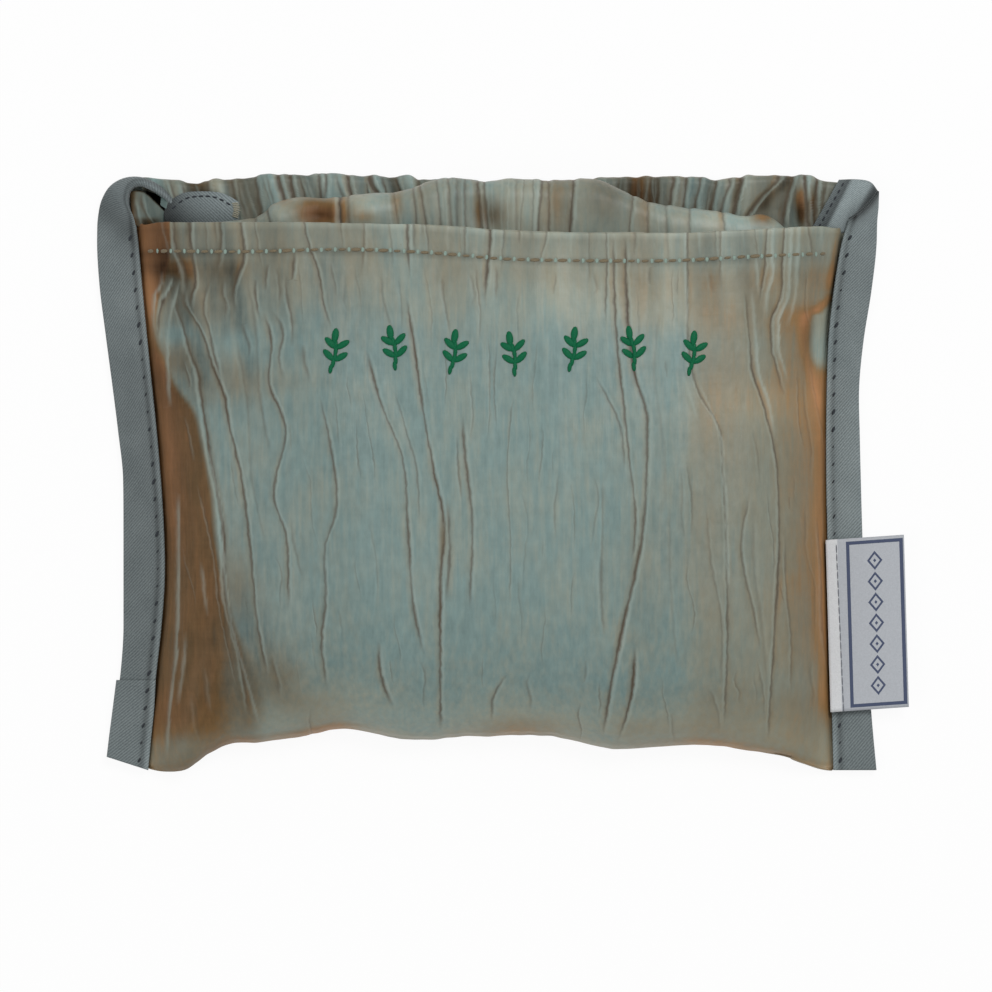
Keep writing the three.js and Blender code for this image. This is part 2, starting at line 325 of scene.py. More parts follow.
@dataclass
class CreaseSet:
    """Creases of one cloth, spread over layers in which no two lie close together.

    The chosen ones all get a place; a grown one only where it touches no other.
    """

    chosen: list[Crease]
    grown: list[Crease]
    layers: int = 7
    touch: float = 0.75
    clear: float = 3.6
    shown: float = 1.5
    placed: list[list[Crease]] = field(default_factory=list)

    def __post_init__(self) -> None:
        """Gives each crease the first layer that has room, and drops one that fits none."""
        self.placed = [[] for _ in range(self.layers)]
        for crease in self.chosen:
            self.place(crease)
        for crease in self.grown:
            if all(self.apart(crease, other, self.touch) for layer in self.placed for other in layer):
                self.place(crease)

    def place(self, crease: Crease) -> None:
        """Puts a crease into the first layer in which it keeps clear of the others.

        Args:
            crease: The crease.
        """
        for layer in self.placed:
            if all(self.apart(crease, other, self.clear) for other in layer):
                layer.append(crease)
                return

    def apart(self, one: Crease, other: Crease, least: float) -> bool:
        """Whether two creases stay at least so far from each other.

        Args:
            one: The first crease.
            other: The second.
            least: Least distance.

        Returns:
            True where they are, or where they don't lie side by side.
        """
        low = max(one.reach()[0], other.reach()[0]) - 1.0
        high = min(one.reach()[1], other.reach()[1]) + 1.0
        if low >= high:
            return True
        along = np.linspace(low, high, 12)
        return bool(np.abs(one.line().at(along) - other.line().at(along)).min() > least)

    def marks(self, x: Array, along: Array) -> list[Array]:
        """For each layer, rows of distance to its crease, strength and width, for the finish to draw.

        Args:
            x: Places across.
            along: Places along the cloth.

        Returns:
            One array of rows for each layer.
        """
        found = []
        uneven = Ripple(7, 9, 5).at(x, along) * 0.5 + Ripple(8, 6, 13).at(x, along) * 0.5
        for layer in self.placed:
            rows = np.zeros((x.size, 3))
            rows[:, 0] = self.clear * 2.0
            rows[:, 2] = 0.4
            for crease in layer:
                distance = (x - crease.line().at(along)) * crease.ridge
                strength = crease.strength(along) * crease.dark * (0.85 + 0.4 * uneven)
                nearer = (np.abs(distance) < np.abs(rows[:, 0])) & (strength != 0)
                rows[nearer, 0] = distance[nearer]
                rows[nearer, 1] = (strength * (np.abs(distance) < self.shown))[nearer]
                rows[nearer, 2] = (crease.width * (1.15 + 0.4 * uneven))[nearer]
            found.append(rows)
        return found

    def relief(self, x: Array, along: Array) -> Array:
        """How far the creases lift the cloth, in millimetres.

        Args:
            x: Places across.
            along: Places along the cloth.

        Returns:
            Heights in millimetres.
        """
        height = np.zeros_like(x)
        for layer in self.placed:
            for crease in layer:
                distance = (x - crease.line().at(along)) * crease.ridge
                step = 0.7 * bell(distance - 1.3, 1.1) - bell(distance, 0.8)
                height += RELIEF * crease.height * crease.strength(along) * step
        return height


@dataclass(frozen=True)
class CreaseCrop:
    """A seeded crop of small creases that follow the drape of the cloth."""

    seed: int
    count: int
    across: tuple[float, float]
    along: tuple[float, float]
    lengths: tuple[float, float]
    dark: tuple[float, float] = (0.15, 0.55)
    height: float = 0.22
    widths: tuple[float, float] = (0.16, 0.34)
    lean: Line = Line((-90, 0.0), (90, 0.0))
    wander: float = 0.8

    def grow(self) -> list[Crease]:
        """Draws the creases.

        Returns:
            One crease for each draw.
        """
        draw = np.random.default_rng(self.seed)
        found = []
        for _ in range(self.count):
            x, top = draw.uniform(*self.across), draw.uniform(*self.along)
            length = draw.uniform(*self.lengths)
            lean = float(self.lean.at(x))
            offsets = draw.normal(0.0, self.wander, 4) * min(1.0, length / 20.0)
            route = tuple((x + lean * length * step + offset, top - length * step)
                          for step, offset in zip((0.0, 0.33, 0.67, 1.0), offsets))
            found.append(Crease(route, width=draw.uniform(*self.widths), dark=draw.uniform(*self.dark),
                                height=self.height * draw.uniform(0.4, 1.2), ridge=int(draw.choice([-1, 1]))))
        return found


@dataclass(frozen=True)
class ShotTaffeta:
    """Crinkled shot taffeta of nylon: sage warp and copper weft, permanently creased.

    The two threads show in turn as the cloth bends, so the colour goes from sage through olive to
    copper, with a soft sheen and no hard gloss. Creases are thin brown lines, partly copper weft and
    partly painted shade, with a painted highlight beside them and a breath of copper on their other
    side. Deep hollows, where the cloth is painted darkest, hardly gleam.
    """

    name: str = "crinkled_shot_nylon_taffeta"
    shades: tuple[tuple[float, str], ...] = (
        (0.0, "#778e8b"), (0.25, "#82877a"), (0.45, "#7f7863"), (0.65, "#87683f"), (0.82, "#946a3d"),
        (1.0, "#a57346"))
    # Dark colour of the crease lines: partly copper weft, partly painted shade
    crease_shade: str = "#4d4232"
    # Pale colour of the painted highlight on the ridge beside each crease
    ridge: str = "#aab9b0"
    roughness: float = 0.5
    slub_pitch: float = 0.9  # the real slubs are about 0.3 mm apart, too fine to show
    layers: int = 7

    def build(self) -> Material:
        """Makes the material, which reads the attributes that LaidCloth writes.

        Returns:
            The new material.
        """
        material, tree = new_material(self.name)
        place = add(tree, "TexCoord").outputs["Object"]
        streaks = self.noise(tree, place, (1.2, 15.0), 2.0)
        mottle = self.noise(tree, place, (11.0, 16.0), 4.0)
        weft = self.noise(tree, place, (8.0, self.slub_pitch), 2.0)
        warp = self.noise(tree, place, (self.slub_pitch * 0.8, 10.0), 2.0)
        crumple = self.noise(tree, place, (2.6, 5.0), 2.0)
        blotch = self.noise(tree, place, (1.7, 3.6), 2.0)
        wander = self.noise(tree, place, (1.3, 2.6), 2.0)
        dark, pale, halo = self.crease_marks(tree, wander)
        share = add(tree, "Attribute", attribute_name="shot").outputs["Fac"]
        calm = add(tree, "Math", {0: share, 1: -0.7, 2: 1.0}, operation="MULTIPLY_ADD", use_clamp=True)
        streaks, blotch = (add(tree, "Math", {0: grain, 1: calm}, operation="MULTIPLY").outputs[0]
                           for grain in (streaks, blotch))
        for grain, amount in ((streaks, 0.32), (mottle, 0.36), (weft, 0.05), (warp, 0.1), (halo, 0.12)):
            share = self.lifted(tree, share, grain, amount)
        ramp = add(tree, "ValToRGB", {0: share})
        stops = ramp.color_ramp.elements
        for place_on, code in self.shades[1:-1]:
            stops.new(place_on)
        for stop, (place_on, code) in zip(stops, self.shades):
            stop.position = place_on
            stop.color = to_linear(code)
        # Lightness: uneven cloth plus the painted shade and painted light that each piece carries, then grain
        value = add(tree, "Attribute", attribute_name="tone_and_shade").outputs["Fac"]
        for grain, amount in ((weft, 0.06), (warp, 0.1), (blotch, 0.36), (mottle, 0.26), (streaks, 0.36)):
            value = self.lifted(tree, value, grain, amount)
        value = add(tree, "Math", {0: value, 1: 1.0}, operation="ADD")
        base = add(tree, "HueSaturation", {"Value": value, "Color": ramp.outputs["Color"]})
        # Painted shade along the crease lines, then a painted highlight on the ridges beside them
        crease_shade_share = add(tree, "Math", {0: dark, 1: 0.95}, operation="MULTIPLY")
        base = add(tree, "Mix", {0: crease_shade_share, MIX_A: base, MIX_B: to_linear(self.crease_shade)},
                   data_type="RGBA").outputs[MIX_COLOUR]
        shine = add(tree, "Math", {0: pale, 1: 0.28}, operation="MULTIPLY")
        base = add(tree, "Mix", {0: shine, MIX_A: base, MIX_B: to_linear(self.ridge)},
                   data_type="RGBA").outputs[MIX_COLOUR]
        raised = add(tree, "Math", {0: pale, 1: 0.4}, operation="MULTIPLY").outputs[0]
        height = self.lifted(tree, raised, dark, -0.8)
        for grain, amount in ((streaks, 0.8), (crumple, 1.6), (weft, 0.25), (warp, 0.3)):
            height = self.lifted(tree, height, grain, amount)
        bump = add(tree, "Bump", {"Strength": 0.5, "Distance": 0.25 * MM, "Height": height})
        gleam = add(tree, "Math", {0: value, 1: 0.5}, operation="MULTIPLY", use_clamp=True)
        shader = add(tree, "BsdfPrincipled", {
            "Base Color": base, "Roughness": self.roughness, "IOR": 1.5, "Specular IOR Level": gleam,
            "Sheen Weight": 0.2, "Sheen Roughness": 0.4, "Sheen Tint": to_linear("#d9c2b0"), "Normal": bump})
        add(tree, "OutputMaterial", {"Surface": shader})
        return material

    def noise(self, tree: Tree, place: Socket, size: tuple[float, float],
              detail: float) -> Socket:
        """Stretched noise about zero, with grains of the given width and length in millimetres.

        Args:
            tree: Tree that gets the nodes.
            place: Where the noise is taken.
            size: Width and length of a grain.
            detail: Detail of the noise.

        Returns:
            The socket of the noise.
        """
        scale = (1.0 / (size[0] * MM), 1.0 / (size[1] * MM), 1.0 / (size[0] * MM))
        mapped = add(tree, "Mapping", {"Vector": place, "Scale": scale})
        grains = add(tree, "TexNoise", {"Vector": mapped, "Scale": 1.0, "Detail": detail})
        return add(tree, "Math", {0: grains, 1: 0.5}, operation="SUBTRACT").outputs[0]

    def lifted(self, tree: Tree, value: Socket, by: Socket,
               amount: float) -> Socket:
        """A value with a share of another on it."""
        return add(tree, "Math", {0: by, 1: amount, 2: value}, operation="MULTIPLY_ADD").outputs[0]

    def crease_marks(self, tree: Tree,
                     wander: Socket) -> list[Socket]:
        """How much painted crease shade, ridge highlight and copper halo each place has, from all layers'
        marks.

        Args:
            tree: Tree that gets the nodes.
            wander: Noise that makes the lines stray a little, as creases in thin cloth do.

        Returns:
            The dark line on the route, partly copper weft and partly painted shade, the painted highlight
            of the ridge beside it and the copper halo on its other side.
        """
        marks: list[bpy.types.Node | float] = [0.0, 0.0, 0.0]
        for layer in range(self.layers):
            mark = add(tree, "Attribute", attribute_name=f"crease_{layer}").outputs["Vector"]
            split = add(tree, "SeparateXYZ", {0: mark})
            either = add(tree, "Math", {0: split.outputs[1]}, operation="ABSOLUTE")
            strayed = self.lifted(tree, split.outputs[0], wander, 0.8)
            along = add(tree, "Math", {0: strayed, 1: split.outputs[2]}, operation="DIVIDE")
            for number, (shift, spread) in enumerate(((0.0, -1.0), (-1.8, -0.9), (1.5, -0.3))):
                moved = add(tree, "Math", {0: along, 1: shift}, operation="ADD")
                squared = add(tree, "Math", {0: moved, 1: moved}, operation="MULTIPLY")
                turned = add(tree, "Math", {0: squared, 1: spread}, operation="MULTIPLY")
                hump = add(tree, "Math", {0: turned}, operation="EXPONENT")
                strength = either if number == 1 else split.outputs[1]
                hump = add(tree, "Math", {0: hump, 1: strength}, operation="MULTIPLY")
                marks[number] = add(tree, "Math", {0: marks[number], 1: hump}, operation="MAXIMUM")
        return [mark.outputs[0] for mark in marks]


@dataclass(frozen=True)
class TwillTape:
    """Cotton twill binding tape, woven and pressed in half.

    Its diagonal ribs catch the light as fine slanting lines on a dull grey ground.
    """

    name: str = "woven_cotton_twill_tape"
    ground: str = "#5c6668"
    rib: str = "#8f999a"
    roughness: float = 0.9
    rib_pitch: float = 0.62
    lean: float = 1.0

    def build(self) -> Material:
        """Makes the material, which reads the lay of the tape in millimetres.

        Returns:
            The new material.
        """
        material, tree = new_material(self.name)
        lay = add(tree, "Attribute", attribute_name="lay").outputs["Vector"]
        split = add(tree, "SeparateXYZ", {0: lay})
        slant = add(tree, "Math", {0: split.outputs[0], 1: self.lean, 2: split.outputs[1]},
                    operation="MULTIPLY_ADD")
        turns = add(tree, "Math", {0: slant, 1: math.sqrt(0.5) * math.tau / self.rib_pitch},
                    operation="MULTIPLY")
        wave = add(tree, "Math", {0: turns}, operation="SINE")
        fuzz = add(tree, "TexNoise", {"Vector": lay, "Scale": 2.2, "Detail": 3.0})
        blotch = add(tree, "TexNoise", {"Vector": lay, "Scale": 0.12, "Detail": 2.0})
        share = add(tree, "Math", {0: wave, 1: 0.28, 2: fuzz}, operation="MULTIPLY_ADD")
        share = add(tree, "Math", {0: blotch, 1: 0.5, 2: share}, operation="MULTIPLY_ADD")
        share = add(tree, "Math", {0: share, 1: 0.25}, operation="SUBTRACT")
        base = add(tree, "Mix", {0: share, MIX_A: to_linear(self.ground), MIX_B: to_linear(self.rib)},
                   data_type="RGBA", clamp_factor=True).outputs[MIX_COLOUR]
        # Painted shade and light that each piece of tape carries along it
        tone_and_shade = add(tree, "Attribute", attribute_name="tone_and_shade").outputs["Fac"]
        value = add(tree, "Math", {0: tone_and_shade, 1: 1.0}, operation="ADD")
        base = add(tree, "HueSaturation", {"Value": value, "Color": base})
        bump = add(tree, "Bump", {"Strength": 0.5, "Distance": 0.12 * MM, "Height": share})
        shader = add(tree, "BsdfPrincipled", {
            "Base Color": base, "Roughness": self.roughness, "Sheen Weight": 0.15, "Normal": bump})
        add(tree, "OutputMaterial", {"Surface": shader})
        return material


@dataclass(frozen=True)
class SewingThread:
    """Spun polyester sewing thread: a matt twisted yarn with a faint fuzz of light."""

    name: str
    colour: str
    shade: str
    roughness: float = 0.7
    ply: float = 0.35  # length of a turn of the twist
    gloss: float = 0.5

    def build(self) -> Material:
        """Makes the material, which reads the lay of each stitch in millimetres.

        Returns:
            The new material.
        """
        material, tree = new_material(self.name)
        lay = add(tree, "Attribute", attribute_name="lay").outputs["Vector"]
        split = add(tree, "SeparateXYZ", {0: lay})
        slant = add(tree, "Math", {0: split.outputs[1], 1: split.outputs[0]}, operation="ADD")
        turns = add(tree, "Math", {0: slant, 1: math.tau / self.ply}, operation="MULTIPLY")
        wave = add(tree, "Math", {0: turns}, operation="SINE")
        share = add(tree, "Math", {0: wave, 1: 0.35, 2: 0.6}, operation="MULTIPLY_ADD")
        base = add(tree, "Mix", {0: share, MIX_A: to_linear(self.shade), MIX_B: to_linear(self.colour)},
                   data_type="RGBA", clamp_factor=True).outputs[MIX_COLOUR]
        bump = add(tree, "Bump", {"Strength": 0.5, "Distance": 0.08 * MM, "Height": share})
        shader = add(tree, "BsdfPrincipled", {
            "Base Color": base, "Roughness": self.roughness, "Specular IOR Level": self.gloss,
            "Sheen Weight": 0.4 * self.gloss, "Normal": bump})
        add(tree, "OutputMaterial", {"Surface": shader})
        return material


@dataclass(frozen=True)
class WovenLabel:
    """Damask-woven polyester label: a fine pale ground with a navy frame and motif woven in."""

    name: str = "damask_woven_polyester_label"
    ground: str = "#b3b7bd"
    selvedge: str = "#d6d8da"
    ink: str = "#2b3a5c"
    roughness: float = 0.75
    frame_line: float = 0.85
    motif_size: float = 2.0
    motif_pitch: float = 5.2

    def build(self, width: float, height: float) -> Material:
        """Makes the material.

        Args:
            width: Width of the framed field, in millimetres.
            height: Height of the framed field, in millimetres.

        Returns:
            A material that reads the label's lay, with the middle of the field at zero.
        """
        material, tree = new_material(self.name)
        lay = add(tree, "Attribute", attribute_name="lay").outputs["Vector"]
        split = add(tree, "SeparateXYZ", {0: lay})
        across = add(tree, "Math", {0: split.outputs[0]}, operation="ABSOLUTE")
        along = add(tree, "Math", {0: split.outputs[1]}, operation="ABSOLUTE")
        out = [add(tree, "Math", {0: part, 1: half}, operation="SUBTRACT")
               for part, half in ((across, width / 2), (along, height / 2))]
        edge = add(tree, "Math", {0: out[0], 1: out[1]}, operation="MAXIMUM")
        line = add(tree, "Math", {0: edge, 1: 0.0, 2: self.frame_line / 2}, operation="COMPARE")
        shifted = add(tree, "Math", {0: split.outputs[1], 1: self.motif_pitch / 2}, operation="ADD")
        cell = add(tree, "Math", {0: shifted, 1: self.motif_pitch}, operation="FLOORED_MODULO")
        local = add(tree, "Math", {0: cell, 1: self.motif_pitch / 2}, operation="SUBTRACT")
        local = add(tree, "Math", {0: local}, operation="ABSOLUTE")
        diamond = add(tree, "Math", {0: across, 1: 1.25, 2: local}, operation="MULTIPLY_ADD")
        ring = add(tree, "Math", {0: diamond, 1: self.motif_size, 2: 0.4}, operation="COMPARE")
        dot = add(tree, "Math", {0: diamond, 1: 0.5}, operation="LESS_THAN")
        motif = add(tree, "Math", {0: ring, 1: dot}, operation="MAXIMUM")
        inside = add(tree, "Math", {0: along, 1: height / 2 - 1.9}, operation="LESS_THAN")
        motif = add(tree, "Math", {0: motif, 1: inside}, operation="MULTIPLY")
        ink = add(tree, "Math", {0: line, 1: motif}, operation="MAXIMUM")
        upper = add(tree, "Math", {0: split.outputs[2], 1: 0.5}, operation="GREATER_THAN")
        ink = add(tree, "Math", {0: ink, 1: upper}, operation="MULTIPLY")
        weave = add(tree, "TexNoise", {"Vector": lay, "Scale": 3.5, "Detail": 2.0})
        patch = add(tree, "Math", {0: weave, 1: 0.3, 2: 0.83}, operation="MULTIPLY_ADD")
        outer = add(tree, "Math", {0: split.outputs[0], 1: -9.2}, operation="LESS_THAN")
        plain = add(tree, "Mix", {0: outer, MIX_A: to_linear(self.ground), MIX_B: to_linear(self.selvedge)},
                    data_type="RGBA").outputs[MIX_COLOUR]
        ground = add(tree, "HueSaturation", {"Value": patch, "Color": plain})
        worn = add(tree, "Math", {0: ink, 1: 0.93}, operation="MULTIPLY")
        base = add(tree, "Mix", {0: worn, MIX_A: ground, MIX_B: to_linear(self.ink)},
                   data_type="RGBA").outputs[MIX_COLOUR]
        raised = add(tree, "Math", {0: ink, 1: 0.6, 2: weave}, operation="MULTIPLY_ADD")
        bump = add(tree, "Bump", {"Strength": 0.4, "Distance": 0.1 * MM, "Height": raised})
        shader = add(tree, "BsdfPrincipled", {
            "Base Color": base, "Roughness": self.roughness, "Sheen Weight": 0.15, "Normal": bump})
        add(tree, "OutputMaterial", {"Surface": shader})
        return material


@dataclass(frozen=True)
class PaintedFloor:
    """White studio sweep, matt paper: it shows white to the camera and keeps a soft shadow."""

    name: str = "white_paper_sweep"
    paper: str = "#f4f4f4"
    glow: float = 0.93

    def build(self) -> Material:
        """Makes the material, which shows plain white where a camera or a mirror looks at it.

        Returns:
            The new material.
        """
        material, tree = new_material(self.name)
        rays = add(tree, "LightPath")
        seen = add(tree, "Math", {0: rays.outputs["Is Camera Ray"], 1: rays.outputs["Is Glossy Ray"]},
                   operation="MAXIMUM")
        seen = add(tree, "Math", {0: seen, 1: rays.outputs["Is Transmission Ray"]}, operation="MAXIMUM")
        share = add(tree, "Math", {0: seen, 1: self.glow}, operation="MULTIPLY")
        paper = add(tree, "BsdfDiffuse", {"Color": to_linear(self.paper)})
        white = add(tree, "Emission", {"Color": (1.0, 1.0, 1.0, 1.0), "Strength": 1.0})
        both = add(tree, "MixShader", {0: share, 1: paper, 2: white})
        add(tree, "OutputMaterial", {"Surface": both})
        return material


def new_piece(name: str, cells: bmesh.types.BMesh) -> Piece:
    """Turns a bmesh into a smooth object in the scene.

    Args:
        name: Name of the object.
        cells: What is turned, and freed.

    Returns:
        The new object, at the origin.
    """
    mesh = bpy.data.meshes.new(name)
    cells.to_mesh(mesh)
    cells.free()
    mesh.polygons.foreach_set("use_smooth", np.ones(len(mesh.polygons), bool))
    piece = bpy.data.objects.new(name, mesh)
    bpy.context.scene.collection.objects.link(piece)
    return piece


@dataclass
class LaidCloth:
    """A grid of cloth or tape that is laid point by point, with what its finish reads."""

    name: str
    columns: int
    rows: int
    thickness: float
    points: Array = field(default_factory=lambda: np.zeros(0))
    marks: dict[str, Array] = field(default_factory=dict)

    def steps(self) -> tuple[Array, Array]:
        """Shares across and along the grid, as two grids of the same shape."""
        return np.meshgrid(np.linspace(0, 1, self.columns + 1), np.linspace(0, 1, self.rows + 1),
                           indexing="ij")

    def normals(self) -> Array:
        """Unit normals of the laid grid.

        Returns:
            One normal for each point.
        """
        across = np.gradient(self.points, axis=0)
        along = np.gradient(self.points, axis=1)
        found = np.cross(across, along)
        return found / np.maximum(np.linalg.norm(found, axis=-1, keepdims=True), 1e-9)

    def push(self, amount: Array) -> None:
        """Pushes each point out along its normal by an amount in millimetres."""
        self.points = self.points + self.normals() * amount[..., None]

    def build(self, offset: float = 0.0) -> Piece:
        """Makes the object: a grid, laid by its points, with its thickness.

        Args:
            offset: Where the laid grid is in the thickness, from -1 at its top to 1 at its underside.

        Returns:
            The new object, at the origin.
        """
        grid = bmesh.new()
        bmesh.ops.create_grid(grid, x_segments=self.columns, y_segments=self.rows, size=1.0)
        piece = new_piece(self.name, grid)
        mesh = piece.data
        corners = np.empty(len(mesh.vertices) * 3)
        mesh.vertices.foreach_get("co", corners)
        corners = corners.reshape(-1, 3)
        column = np.rint((corners[:, 0] + 1.0) / 2.0 * self.columns).astype(int)
        row = np.rint((corners[:, 1] + 1.0) / 2.0 * self.rows).astype(int)
        mesh.vertices.foreach_set("co", (self.points[column, row] * MM).ravel())
        for name, values in self.marks.items():
            kind, key = ("FLOAT", "value") if values.ndim == 2 else ("FLOAT_VECTOR", "vector")
            attribute = mesh.attributes.new(name, kind, "POINT")
            attribute.data.foreach_set(key, values[column, row].astype(np.float32).ravel())
        mesh.update()
        wall = piece.modifiers.new("wall", "SOLIDIFY")
        wall.thickness = self.thickness * MM
        wall.offset = offset
        LOG.info("%s: %d by %d cells", self.name, self.columns, self.rows)
        return piece


def crease_attributes(creases: CreaseSet, x: Array, along: Array) -> dict[str, Array]:
    """The marks of all crease layers, as grids for a LaidCloth."""
    layers = creases.marks(x.ravel(), along.ravel())
    return {f"crease_{number}": rows.reshape(*x.shape, 3) for number, rows in enumerate(layers)}


def patches(x: Array, y: Array, spots: Sequence[tuple[float, float, float, float, float]]) -> Array:
    """Soft patches on a cloth.

    Args:
        x: Places across.
        y: Places along.
        spots: For each patch its middle, its half width and half length, and its amount.

    Returns:
        The sum of the patches at each place.
    """
    total = np.zeros_like(x)
    for middle_x, middle_y, half_x, half_y, amount in spots:
        total += amount * np.exp(-((x - middle_x) / half_x) ** 2 - ((y - middle_y) / half_y) ** 2)
    return total


